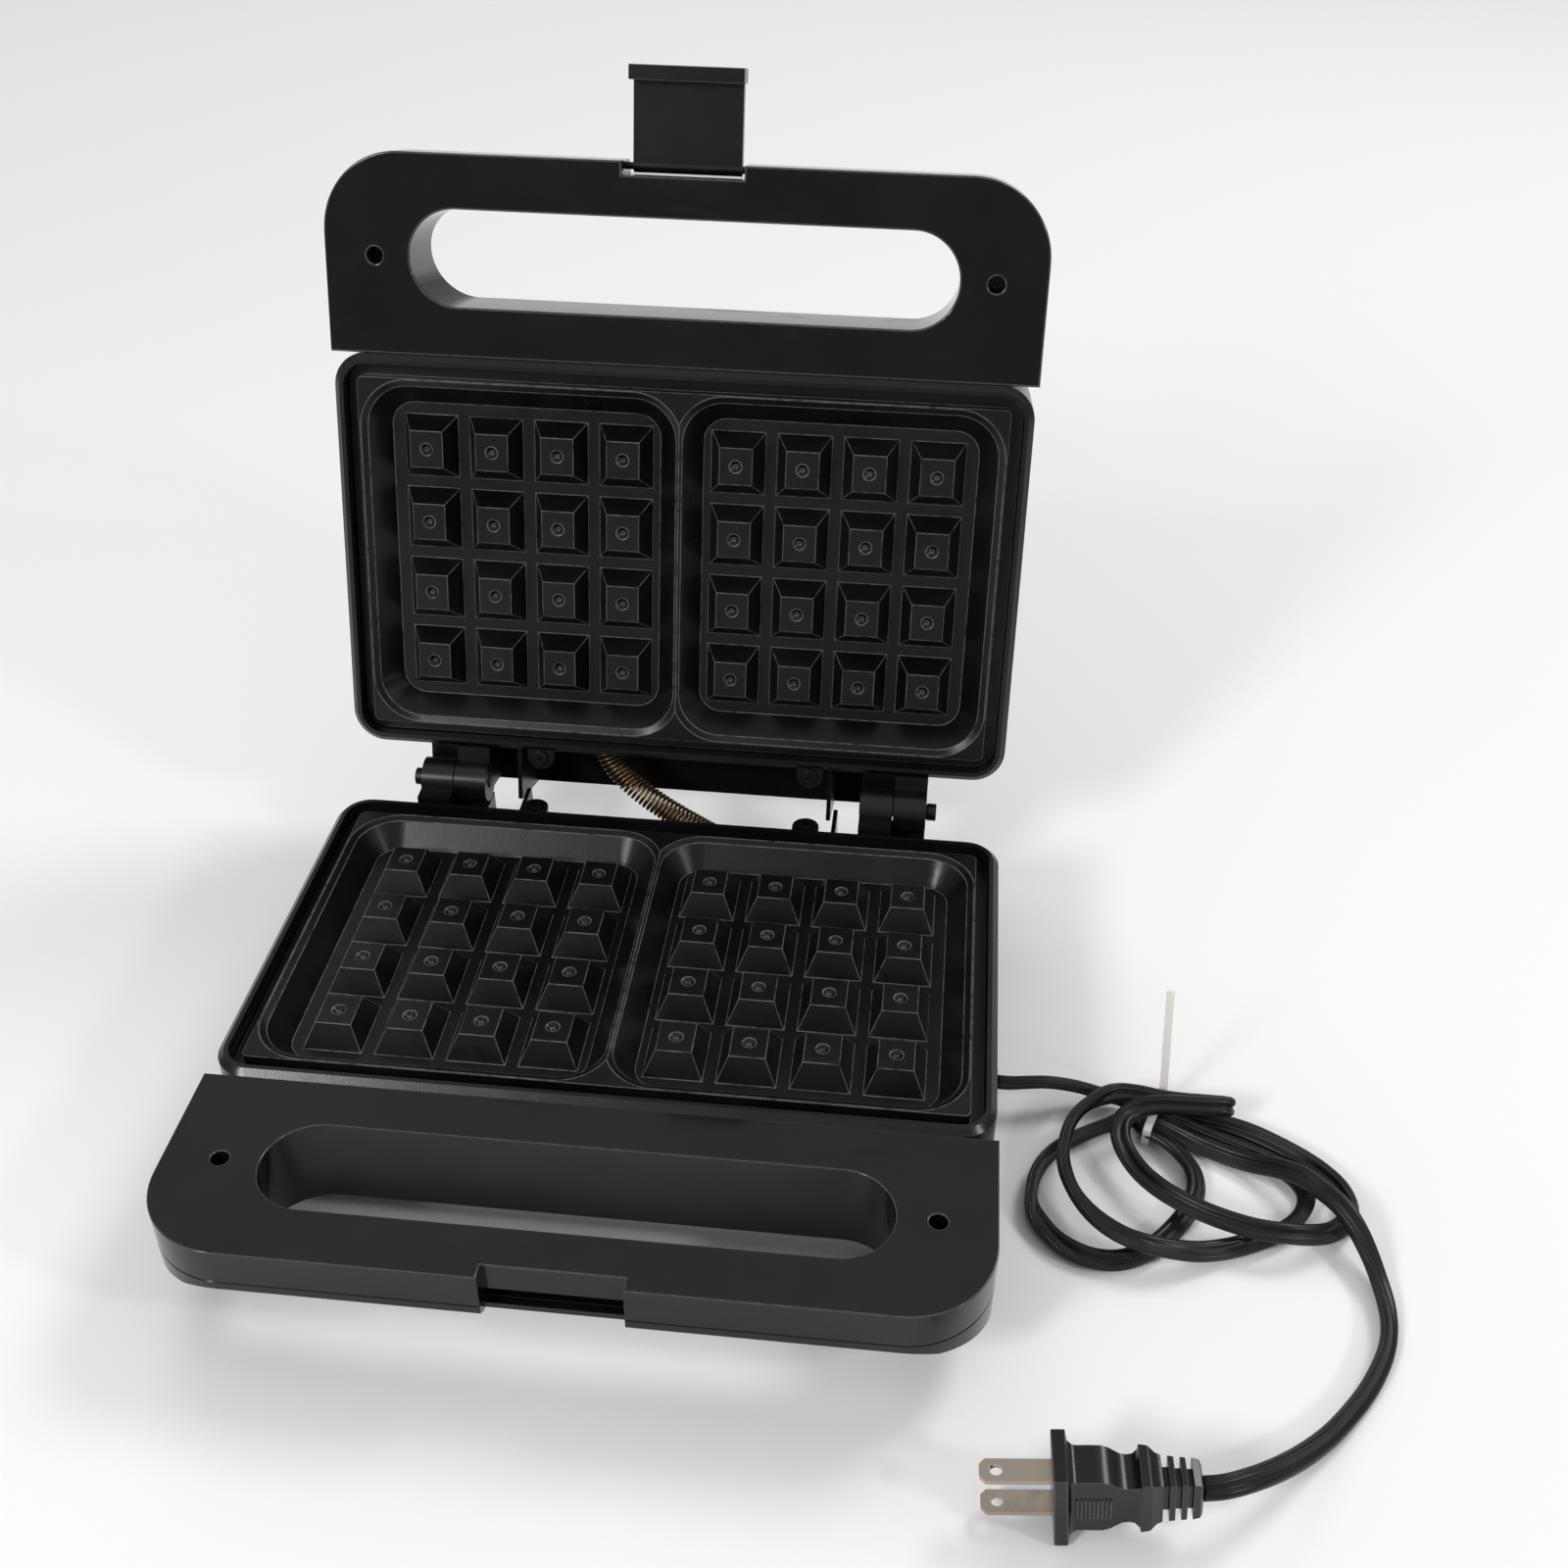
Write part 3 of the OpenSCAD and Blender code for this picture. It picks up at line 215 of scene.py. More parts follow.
# Ridges on each broad side of its grip
RIDGES = 9
RIDGE_START = 22.6
RIDGE_PITCH = 1.02
RIDGE_Y = 5.5
RIDGE_Z = -0.6
RIDGE_SIZE = (0.5, 0.9, 7.2)
RIDGE_EDGE = 0.18

# Camera, its place in metres
CAMERA_PLACE = (0.0847, -0.419335, 0.40965)
CAMERA_TURN = (53.8248, -0.6858, 5.8481)
CAMERA_LENS = 39.93
CAMERA_SENSOR = 36.0
CAMERA_REACH = 20.0  # in metres

# Lamps: place and aim in metres, width in metres, power in watts, colour, and whether
# glossy surfaces show it
LAMPS = (
    ("key_lamp", (1.25, 1.1, 1.9), (0.05, 0.0, 0.05), 0.9, 19.5, (1.0, 0.995, 0.985), True),
    ("front_lamp", (-0.8, -1.15, 1.0), (0.05, 0.05, 0.05), 0.36, 12.0, (1.0, 1.0, 1.0), True),
    ("rear_lamp", (-1.0, 2.1, 2.2), (0.0, 0.5, 0.0), 1.5, 14.0, (0.985, 0.99, 1.0), False),
    ("side_lamp", (1.2, -0.55, 0.85), (0.1, -0.05, 0.05), 0.16, 3.6, (1.0, 1.0, 1.0), True),
)
FLOOR_SIZE = 30.0  # in metres
FLOOR_Z = -0.0003  # in metres: just under the feet

# The room's light grows from the horizon's to the ceiling's between these heights of view
SKY = (0.98, 0.985, 1.0)
HORIZON_LIGHT = 0.3
CEILING_LIGHT = 0.68
HORIZON_END = 0.25
CEILING_START = 0.95
BACKDROP = (0.6, 0.6, 0.6)


# ------------------------------------------------------------------ places and mesh helpers


def base_place():
    """Matrix from the base half's own millimetres to the part."""
    return Matrix.Scale(MM, 4) @ Matrix.Translation((0, GRID_Y, TOPS_Z))


def lid_place():
    """Matrix from the lid half's own millimetres to the part."""
    return (
        Matrix.Scale(MM, 4)
        @ Matrix.Translation((0, GRID_Y + HINGE_BACK, TOPS_Z + AXIS_Z))
        @ Matrix.Rotation(math.radians(-OPEN_ANGLE), 4, "X")
        @ Matrix.Translation((0, -HINGE_BACK, 2 * PART_Z - AXIS_Z))
        @ Matrix.Rotation(math.pi, 4, "Y")
    )


def plug_place():
    """Matrix from the plug's own millimetres, lead end at the middle, to the part."""
    return (
        Matrix.Scale(MM, 4)
        @ Matrix.Translation(PLUG_TIP)
        @ Matrix.Rotation(math.radians(180 + PLUG_TURN), 4, "Z")
        @ Matrix.Rotation(math.radians(PLUG_NOD), 4, "Y")
        @ Matrix.Rotation(math.radians(PLUG_LEAN), 4, "X")
    )


def pick(piece):
    """Selects one piece alone and makes it active."""
    if bpy.context.mode != "OBJECT":
        bpy.ops.object.mode_set(mode="OBJECT")
    bpy.ops.object.select_all(action="DESELECT")
    piece.select_set(True)
    bpy.context.view_layer.objects.active = piece


@contextmanager
def editing(piece, action="SELECT"):
    """Edit mode on one piece, with all of it selected or none."""
    pick(piece)
    bpy.ops.object.mode_set(mode="EDIT")
    bpy.ops.mesh.select_all(action=action)
    yield
    bpy.ops.mesh.select_all(action="DESELECT")
    bpy.ops.object.mode_set(mode="OBJECT")


def mesh_piece(name, points, faces):
    """A new mesh piece with its place in its points, in metres."""
    mesh = bpy.data.meshes.new(name)
    mesh.from_pydata([tuple(p) for p in points], [], faces)
    mesh.validate()
    piece = bpy.data.objects.new(name, mesh)
    bpy.context.scene.collection.objects.link(piece)
    return piece


def cube_at(place):
    """A cube whose sides are one unit of place, put where place says."""
    bpy.ops.object.select_all(action="DESELECT")
    bpy.ops.mesh.primitive_cube_add(size=1.0)
    cube = bpy.context.active_object
    cube.data.transform(place)
    return cube


def settle(piece):
    """Puts the piece's place into its mesh, so that its object sits at the origin."""
    pick(piece)
    bpy.ops.object.transform_apply(location=True, rotation=True, scale=True)


def copy_of(node, name):
    """A merged copy of a CAD node's mesh, with its flat faces whole."""
    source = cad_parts[node]
    piece = bpy.data.objects.new(name, source.data.copy())
    bpy.context.scene.collection.objects.link(piece)
    piece.matrix_world = source.matrix_world.copy()
    settle(piece)
    piece.data.materials.clear()
    with editing(piece):
        bpy.ops.mesh.customdata_custom_splitnormals_clear()
        bpy.ops.mesh.remove_doubles(threshold=MERGE)
        bpy.ops.mesh.dissolve_limited(angle_limit=math.radians(FLAT))
    return piece


def round_edges(piece, width, where=None, segments=2, least=32.0, place=None):
    """Rounds the edges that turn by least or more, and whose middle in place's own millimetres passes where.
    The narrow faces that this adds are marked, so that the finishes paint them lighter, partly as wear and
    partly as a painted highlight."""
    inverse = (place or Matrix.Scale(MM, 4)).inverted()
    if EDGE_WEAR_AND_HIGHLIGHT not in piece.data.attributes:
        piece.data.attributes.new(EDGE_WEAR_AND_HIGHLIGHT, "FLOAT", "FACE")
    with editing(piece, "DESELECT"):
        bpy.ops.mesh.select_mode(type="EDGE")
        work = bmesh.from_edit_mesh(piece.data)
        found = False
        for edge in work.edges:
            if len(edge.link_faces) != 2 or edge.calc_face_angle(0.0) < math.radians(least):
                continue
            middle = inverse @ ((edge.verts[0].co + edge.verts[1].co) / 2)
            if where is None or where(middle):
                edge.select_set(True)
                found = True
        if not found:
            raise RuntimeError("no edge to round on " + piece.name)
        bmesh.update_edit_mesh(piece.data)
        bpy.ops.mesh.bevel(
            offset=width * MM, segments=segments, profile=0.5, affect="EDGES",
            clamp_overlap=True,
        )
        work = bmesh.from_edit_mesh(piece.data)
        # mark the narrow rounded faces, which the finishes paint lighter as edge wear and a painted
        # highlight
        rubbed = work.faces.layers.float[EDGE_WEAR_AND_HIGHLIGHT]
        for face in work.faces:
            longest = max(edge.calc_length() for edge in face.edges)
            if face.select and face.calc_area() < longest * width * MM:
                face[rubbed] = 1.0
        bmesh.update_edit_mesh(piece.data)
        bpy.ops.mesh.select_all(action="SELECT")
        bpy.ops.mesh.remove_doubles(threshold=SLIVER)
        bpy.ops.mesh.dissolve_degenerate(threshold=SLIVER)


def smooth(piece, angle):
    """Shades the piece smooth over its rounded edges and keeps its flat faces flat."""
    pick(piece)
    bpy.ops.object.shade_smooth_by_angle(angle=math.radians(angle))
    modifier = piece.modifiers.new("flat faces", "WEIGHTED_NORMAL")
    modifier.keep_sharp = True
    modifier.weight = FLAT_WEIGHT
    bpy.ops.object.modifier_apply(modifier=modifier.name)


def wear(piece, look):
    """Gives the piece its finish."""
    piece.data.materials.clear()
    piece.data.materials.append(finish(look))


def seat_on(piece, body, node):
    """Makes the piece ride on its body in place of its CAD node."""
    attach(piece, body)
    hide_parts(node)


def complete(piece, node, body, look, angle=35.0):
    """Smooths a piece of a CAD node's shape, finishes it and puts it in the node's place."""
    smooth(piece, angle)
    wear(piece, look)
    seat_on(piece, body, node)
    return piece


def dressed(node, name, body, look, slot, width, **edges):
    """A copy of a CAD node with its edges rounded by width, complete with its finish."""
    piece = copy_of(node, name)
    round_edges(piece, width, **edges)
    return complete(piece, node, body, look)


# ------------------------------------------------------------------ finishes


class Value:
    """A socket of a node; arithmetic on it adds Math nodes."""

    def __init__(self, graph, socket):
        self.graph = graph
        self.socket = socket

    def maths(self, operation, *numbers):
        """One Math node fed by these numbers or values."""
        return self.graph.node("ShaderNodeMath", {"operation": operation}, dict(enumerate(numbers)))

    def __add__(self, other):
        return self.maths("ADD", self, other)

    def __sub__(self, other):
        return self.maths("SUBTRACT", self, other)

    def __rsub__(self, other):
        return self.maths("SUBTRACT", other, self)

    def __mul__(self, other):
        return self.maths("MULTIPLY", self, other)

    __radd__ = __add__
    __rmul__ = __mul__

    def above(self, low, high):
        """0 below low, 1 above high, and a smooth step between."""
        return self.graph.node(
            "ShaderNodeMapRange", {"interpolation_type": "SMOOTHSTEP"},
            {"Value": self, "From Min": low, "From Max": high, "To Min": 0.0, "To Max": 1.0},
        )


class Graph:
    """The nodes of a material or of the world."""

    def __init__(self, tree):
        self.nodes = tree.nodes
        self.links = tree.links
        self.nodes.clear()

    def feed(self, node, inputs):
        """Sets or links each named or numbered socket of a node."""
        for key, value in inputs.items():
            socket = node.inputs[key]
            if isinstance(value, Value):
                self.links.new(value.socket, socket)
            elif isinstance(value, tuple) and len(value) == 3 and socket.type == "RGBA":
                socket.default_value = (*value, 1.0)
            else:
                socket.default_value = value

    def node(self, kind, settings, inputs, output=0):
        """Adds a node of this type with its settings and its sockets' values or links."""
        node = self.nodes.new(kind)
        for key, value in settings.items():
            setattr(node, key, value)
        self.feed(node, inputs)
        return Value(self, node.outputs[output])


class Finish(Graph):
    """One material, with a Principled shader."""

    def __init__(self, name):
        self.material = bpy.data.materials.new(name)
        self.material.use_nodes = True
        super().__init__(self.material.node_tree)
        self.shader = self.nodes.new("ShaderNodeBsdfPrincipled")
        output = self.nodes.new("ShaderNodeOutputMaterial")
        self.links.new(self.shader.outputs["BSDF"], output.inputs["Surface"])
        place = self.nodes.new("ShaderNodeTexCoord")
        self.place = Value(self, place.outputs["Object"])
        self.along = Value(self, place.outputs["UV"])

    def noise(self, scale, detail=3.0, rough=0.55, warp=0.0, at=None):
        """Noise over the piece, its scale in waves a metre."""
        return self.node(
            "ShaderNodeTexNoise", {},
            {"Vector": at or self.place, "Scale": scale, "Detail": detail, "Roughness": rough,
             "Distortion": warp},
        )

    def edges(self):
        """One on the faces that rounding gave the piece, nought elsewhere."""
        return self.node("ShaderNodeAttribute", {"attribute_name": EDGE_WEAR_AND_HIGHLIGHT}, {}, "Fac")

    def stretched(self, scale):
        """The piece's own coordinates, stretched by a vector."""
        return self.node("ShaderNodeMapping", {}, {"Vector": self.place, "Scale": scale})

    def blend(self, factor, first, second):
        """A colour between two colours, by a Mix node's colour sockets 6, 7 and 2."""
        return self.node(
            "ShaderNodeMix", {"data_type": "RGBA"}, {0: factor, 6: first, 7: second}, output=2
        )

    def bump(self, height, depth):
        """A Bump node of this depth in millimetres that feeds the shader's normal."""
        return self.node(
            "ShaderNodeBump", {}, {"Height": height, "Distance": depth * MM, "Strength": 1.0}
        )

    def done(self, **inputs):
        """Sets the shader's sockets by name, with _ for a space."""
        self.feed(self.shader, {key.replace("_", " "): value for key, value in inputs.items()})
        return self.material


PLAIN = (1.0, 1.0, 1.0)  # a pattern that is not stretched


def tinted(colour, times, plus=0.0):
    """A colour multiplied and raised, channel by channel."""
    return tuple(channel * times + plus for channel in colour)


def dark_plastic(name, colour, gloss, grain, smears):
    """Black moulded plastic: gloss is its roughness, with smears, specks of dust and a painted highlight
    along its rounded edges."""
    look = Finish(name)
    cloudy = look.noise(34.0, 4.0, 0.6)
    streaks = look.noise(16.0, 5.0, 0.65, warp=1.2, at=look.stretched((1.0, 3.5, 3.5)))
    marks = streaks.above(0.56, 0.74) * smears
    specks = look.noise(2600.0, 1.0, 0.4).above(0.74, 0.8) * 0.35
    fine = look.noise(1500.0, 2.0, 0.5)
    tone = look.blend(cloudy.above(0.35, 0.75), colour, tinted(colour, 1.5, 0.0015))
    tone = look.blend(specks, tone, tinted(colour, 1.0, 0.045))
    # painted highlight: the rounded edges get a lighter base colour that stands for the glint of light along
    # them
    worn_and_highlit_edges = look.edges() * (look.noise(420.0, 2.0, 0.6).above(0.3, 0.62) * 0.35 + 0.65)
    tone = look.blend(worn_and_highlit_edges, tone, tinted(colour, 1.0, 0.055))
    return look.done(
        Base_Color=tone,
        Roughness=cloudy * 0.05 + marks * 0.2 + specks * 0.3 + gloss,
        Normal=look.bump(fine + cloudy * 0.6, grain),
        IOR=1.5,
        Specular_IOR_Level=0.38,
    )


def coated_metal(name, colour):
    """Dull non-stick coating over cast aluminium, with a sprayed grain, glossier patches, crumbs, and
    rounded edges painted lighter, partly as wear and partly as a painted highlight."""
    look = Finish(name)
    spray = look.noise(1900.0, 2.0, 0.6)
    cast = look.noise(210.0, 4.0, 0.6)
    cloud = look.noise(22.0, 4.0, 0.62, 0.4)
    glossy = look.noise(60.0, 5.0, 0.7).above(0.52, 0.72)
    crumbs = look.noise(1500.0, 1.0, 0.4).above(0.76, 0.8) * 0.5
    tone = look.blend(cloud.above(0.35, 0.7), colour, tinted(colour, 1.6, 0.002))
    tone = look.blend(crumbs, tone, (0.05, 0.045, 0.04))
    # edge wear and painted highlight: the rounded edges get a lighter base colour in patches
    worn_and_highlit_edges = look.edges() * look.noise(300.0, 3.0, 0.6).above(0.2, 0.6)
    tone = look.blend(worn_and_highlit_edges, tone, (0.1, 0.1, 0.102))
    return look.done(
        Base_Color=tone,
        Roughness=cloud * 0.12 - glossy * 0.08 + 0.26,
        Normal=look.bump(spray * 0.5 + cast, 0.035),
        IOR=1.45,
        Specular_IOR_Level=0.33,
    )


def bare_metal(name, colour, rough, brushed=PLAIN, tarnish=0.4, stain=(0.2, 0.15, 0.1)):
    """Bare metal with a fine grain, stretched where it is brushed, and faint tarnish."""
    look = Finish(name)
    lines = look.noise(700.0, 3.0, 0.6, at=look.stretched(brushed))
    spots = look.noise(90.0, 4.0, 0.6).above(0.55, 0.75) * tarnish
    return look.done(
        Base_Color=look.blend(spots, colour, stain),
        Metallic=1.0 - spots * 0.5,
        Roughness=lines * 0.14 + spots * 0.2 + rough,
        Normal=look.bump(lines, 0.012),
    )


def soft_rubber(name, colour, rough=0.5):
    """Dark rubber with a fine bloom."""
    look = Finish(name)
    bloom = look.noise(120.0, 4.0, 0.6)
    fine = look.noise(2200.0, 2.0, 0.5)
    return look.done(
        Base_Color=look.blend(bloom.above(0.4, 0.8) * 0.7, colour, tinted(colour, 2.0, 0.008)),
        Roughness=bloom * 0.16 + rough,
        Normal=look.bump(fine, 0.03),
    )


def lead_jacket(name, colour):
    """Jacket of the lead, ribbed on its upper side, with a painted highlight on the ribs' crests; the ribs
    follow the piece's UV map.
    """
    look = Finish(name)
    around = look.node("ShaderNodeSeparateXYZ", {}, {"Vector": look.along}, "Y")
    turn = around * (2 * math.pi)
    upper = turn.maths("SINE", turn).above(0.1, 0.3)
    ribs = turn.maths("SINE", turn * JACKET_RIBS) * upper * 0.5 + 0.5
    bloom = look.noise(70.0, 4.0, 0.6)
    fine = look.noise(1800.0, 2.0, 0.5)
    tone = look.blend(bloom.above(0.45, 0.8) * 0.6, colour, tinted(colour, 2.0, 0.006))
    # painted highlight: the ribs' crests get a lighter base colour
    painted_crest_highlight = (ribs - 0.5).above(0.2, 0.48) * upper
    return look.done(
        Base_Color=look.blend(painted_crest_highlight * 0.7, tone, tinted(colour, 4.0, 0.01)),
        Roughness=bloom * 0.14 + 0.28,
        Normal=look.bump(ribs + fine * 0.12, 0.2),
        Specular_IOR_Level=0.3,
    )


def ceramic(name, colour):
    """Unglazed ceramic with small pits."""
    look = Finish(name)
    pits = look.noise(900.0, 3.0, 0.6)
    cloud = look.noise(80.0, 3.0, 0.5)
    return look.done(
        Base_Color=look.blend(cloud, colour, tinted(colour, 0.8)),
        Roughness=pits * 0.2 + 0.55,
        Normal=look.bump(pits, 0.05),
    )


def nylon(name, colour):
    """Natural nylon, a little clear, with flow marks."""
    look = Finish(name)
    flow = look.noise(260.0, 3.0, 0.6, 0.3, look.stretched((1.0, 1.0, 0.3)))
    return look.done(
        Base_Color=look.blend(flow, colour, tinted(colour, 0.86)),
        Roughness=flow * 0.15 + 0.32,
        Normal=look.bump(flow, 0.03),
        Alpha=0.5,
        Subsurface_Weight=0.4,
        Subsurface_Scale=0.002,
    )


def lens(name, colour):
    """Tinted lens of a lamp, with a faint prism pattern under its surface."""
    look = Finish(name)
    facets = look.node("ShaderNodeTexVoronoi", {}, {"Vector": look.place, "Scale": 900.0})
    cloud = look.noise(400.0, 2.0, 0.5)
    return look.done(
        Base_Color=look.blend(facets.above(0.1, 0.6), colour, tinted(colour, 0.45)),
        Roughness=cloud * 0.06 + 0.12,
        Normal=look.bump(facets, 0.05),
        Coat_Roughness=0.05,
        Transmission_Weight=0.3,
    )


# Each finish: its maker, its colour or the name of the setting that holds it, and what else
# its maker is given
RECIPES = {
    "handle_gloss": (dark_plastic, "plastic", 0.06, 0.003, 0.9),
    "shell_satin": (dark_plastic, "plastic", 0.24, 0.02, 0.6),
    "plug_satin": (dark_plastic, "plastic", 0.2, 0.015, 0.4),
    "plate_coating": (coated_metal, "plate"),
    "heater_tube": (bare_metal, (0.25, 0.24, 0.23), 0.42),
    "shield_sheet": (bare_metal, (0.72, 0.73, 0.74), 0.28, (1.0, 9.0, 9.0)),
    "screw_steel": (bare_metal, "steel", 0.26),
    "black_steel": (bare_metal, (0.035, 0.034, 0.033), 0.34, PLAIN, 0.3, (0.012, 0.011, 0.01)),
    "blade_nickel": (bare_metal, "blades", 0.16, (1.0, 10.0, 10.0), 0.35, (0.24, 0.17, 0.11)),
    "sheath_bronze": (bare_metal, "sheath", 0.3, PLAIN, 0.6, (0.06, 0.035, 0.015)),
    "terminal_ceramic": (ceramic, (0.72, 0.69, 0.6)),
    "fuse_ceramic": (ceramic, (0.58, 0.54, 0.46)),
    "foot_rubber": (soft_rubber, (0.012, 0.012, 0.013)),
    "gland_rubber": (soft_rubber, (0.01, 0.01, 0.011), 0.42),
    "lead_jacket": (lead_jacket, "lead"),
    "tie_nylon": (nylon, "tie"),
    "red_lens": (lens, (0.55, 0.012, 0.008)),
    "green_lens": (lens, (0.02, 0.3, 0.05)),
}
FINISHES = {}


def finish(name):
    """The finish with this name, made once."""
    if name not in FINISHES:
        maker, colour, *details = RECIPES[name]
        if isinstance(colour, str):
            colour = tuple(getattr(bpy.context.scene.waffle_colours, colour))
        FINISHES[name] = maker(name, colour, *details)
    return FINISHES[name]


# ------------------------------------------------------------------ settings


def size_prop(name, description, default):
    """A length property in metres."""
    return FloatProperty(
        name=name, description=description, default=default, min=0.0, unit="LENGTH",
        subtype="DISTANCE", precision=5,
    )


def tint_prop(name, description, default):
    """A colour property."""
    return FloatVectorProperty(
        name=name, description=description, default=default, size=3, min=0.0, max=1.0,
        subtype="COLOR",
    )


class WaffleSizes(bpy.types.PropertyGroup):
    """Sizes of the detail that the frame leaves to the visible pieces."""

    shell_edge: size_prop("Shell edges", "Radius of the shells' moulded edges", 0.0006)
    handle_edge: size_prop("Handle edges", "Radius of the handles' moulded edges", 0.0009)
    plate_edge: size_prop("Plate edges", "Radius of the plates' cast edges", 0.0007)
    lead_width: size_prop("Lead width", "Width of the flat twin lead", 0.0062)
    lead_thickness: size_prop("Lead thickness", "Thickness of the flat twin lead", 0.0032)
    wire: size_prop("Sheath wire", "Diameter of the sheath's coiled wire", 0.00115)
    coil_pitch: size_prop("Sheath pitch", "Distance between the coil's turns", 0.00165)


class WaffleColours(bpy.types.PropertyGroup):
    """Colours of the finishes."""

    plastic: tint_prop("Plastic", "Colour of shells and handles", (0.0035, 0.0035, 0.0037))
    plate: tint_prop("Plates", "Colour of the plates' coating", (0.003, 0.003, 0.003))
    lead: tint_prop("Lead", "Colour of the lead's jacket", (0.004, 0.004, 0.0044))
    steel: tint_prop("Screws", "Colour of the screws", (0.56, 0.55, 0.53))
    sheath: tint_prop("Sheath", "Colour of the wire sheath", (0.22, 0.14, 0.075))
    blades: tint_prop("Blades", "Colour of the plug's blades", (0.47, 0.4, 0.335))
    tie: tint_prop("Tie", "Colour of the tie", (0.96, 0.95, 0.9))
    floor: tint_prop("Floor", "Colour of the floor", (0.86, 0.85, 0.84))


# ------------------------------------------------------------------ the lead and what is on it


def curve_through(points, step):
    """Points every step along a smooth curve through the given points, each with its place
    along the list."""
    points = [Vector(p) for p in points]
    ends = [points[0] * 2 - points[1]] + points + [points[-1] * 2 - points[-2]]
    route = []
    for i in range(len(points) - 1):
        a, b, c, d = ends[i : i + 4]
        count = max(2, round((c - b).length / step))
        for k in range(count):
            t = k / count
            bent = (2 * a - 5 * b + 4 * c - d) * t * t + (3 * b - a - 3 * c + d) * t * t * t
            route.append((0.5 * ((2 * b) + (c - a) * t + bent), i + t))
    route.append((points[-1], len(points) - 1.0))
    return route


def lead_line():
    """The lead's middle line in metres, and each point's place along the route."""
    route = curve_through(LEAD, LEAD_STEP)
    return [p * MM for p, _ in route], [place for _, place in route]


def swept(name, centres, sides, tops, outline):
    """A closed tube whose outline of (side, top) points follows the centres, with a UV map
    that runs along and around it."""
    n = len(outline)
    last = len(centres) - 1
    points = [
        c + s * x + t * y for c, s, t in zip(centres, sides, tops) for x, y in outline
    ]
    faces = [
        (i * n + k, (i + 1) * n + k, (i + 1) * n + (k + 1) % n, i * n + (k + 1) % n)
        for i in range(last) for k in range(n)
    ]
    faces += [tuple(range(n)), tuple(last * n + k for k in reversed(range(n)))]
    piece = mesh_piece(name, points, faces)
    layer = piece.data.uv_layers.new(name="UVMap")
    for face in piece.data.polygons:
        corners = [(loop, *divmod(piece.data.loops[loop].vertex_index, n))
                   for loop in face.loop_indices]
        closing = any(k == n - 1 for _, _, k in corners)
        for loop, i, k in corners:
            around = n if closing and k == 0 else k
            layer.data[loop].uv = (i / last, around / n)
    with editing(piece):
        bpy.ops.mesh.normals_make_consistent(inside=False)
    bpy.ops.object.shade_smooth()
    return piece


def lean_at(place):
    """Lean of the lead at a place along its list of points, eased between the stated ones."""
    for (a, low), (b, high) in zip(LEAD_LEAN, LEAD_LEAN[1:]):
        if place <= b:
            t = min(max((place - a) / (b - a), 0.0), 1.0)
            return low + (high - low) * t * t * (3 - 2 * t)
    return LEAD_LEAN[-1][1]


def twin_outline(width, thickness):
    """Outline of a flat twin jacket: two round cores and the web between them."""
    r = thickness / 2
    core = width / 2 - r
    outline = []
    for k in range(JACKET_SIDES):
        angle = 2 * math.pi * (k + 0.5) / JACKET_SIDES
        x, y = math.cos(angle), math.sin(angle) * width / 2
        if abs(y) <= core:
            half = r * (1.0 - WAIST_DEPTH * (1 - abs(y) / core) ** WAIST_POWER)
        else:
            half = math.sqrt(max(r * r - (abs(y) - core) ** 2, 0.0))
        outline.append((math.copysign(half, x), y))
    return outline


def extruded(name, stations):
    """A bar along X, in metres, whose end face is extruded and scaled from one of the
    stations to the next."""
    bpy.ops.object.select_all(action="DESELECT")
    start, across, up = stations[0]
    bpy.ops.mesh.primitive_plane_add(size=2.0)
    piece = bpy.context.active_object
    piece.name = name
    piece.data.transform(
        Matrix.Translation((start * MM, 0, 0))
        @ Matrix.Diagonal((1.0, across * MM, up * MM, 1.0))
        @ Matrix.Rotation(math.pi / 2, 4, "Y")
    )
    with editing(piece):
        bpy.ops.mesh.select_mode(type="FACE")
        for at, wide, high in stations[1:]:
            bpy.ops.mesh.extrude_region_move(
                TRANSFORM_OT_translate={"value": ((at - start) * MM, 0, 0)})
            bpy.ops.transform.resize(
                value=(1.0, wide / across, high / up), center_override=(at * MM, 0, 0))
            start, across, up = at, wide, high
        bpy.ops.mesh.select_all(action="SELECT")
        bpy.ops.mesh.normals_make_consistent(inside=False)
    return piece


class WAFFLE_OT_lead(bpy.types.Operator):
    """Mains lead: a ribbed flat twin jacket along its route"""

    bl_idname = "waffle.lead"
    bl_label = "Lead"

    def execute(self, context):
        centres, places = lead_line()
        last = len(centres) - 1
        sides, tops = [], []
        for i, place in enumerate(places):
            way = (centres[min(i + 1, last)] - centres[max(i - 1, 0)]).normalized()
            if i == last:
                way = (plug_place().to_3x3() @ Vector((1, 0, 0))).normalized()
            side = way.cross(Vector((0, 0, 1))).normalized()
            turned = Matrix.Rotation(math.radians(lean_at(place)), 3, way)
            sides.append(turned @ side)
            tops.append(turned @ side.cross(way))
        sizes = context.scene.waffle_sizes
        outline = twin_outline(sizes.lead_width, sizes.lead_thickness)
        piece = swept("lead", centres, sides, tops, outline)
        wear(piece, "lead_jacket")
        seat_on(piece, "base", "cord")
        return {"FINISHED"}


class WAFFLE_OT_tie(bpy.types.Operator):
    """Nylon tie round the lead's strands, with its lock and loose tail"""

    bl_idname = "waffle.tie"
    bl_label = "Tie"

    def execute(self, context):
        dressed(
            "cable_tie", "lead_tie", "base", "tie_nylon", "tie_nylon", width=0.18, least=50.0)
        return {"FINISHED"}


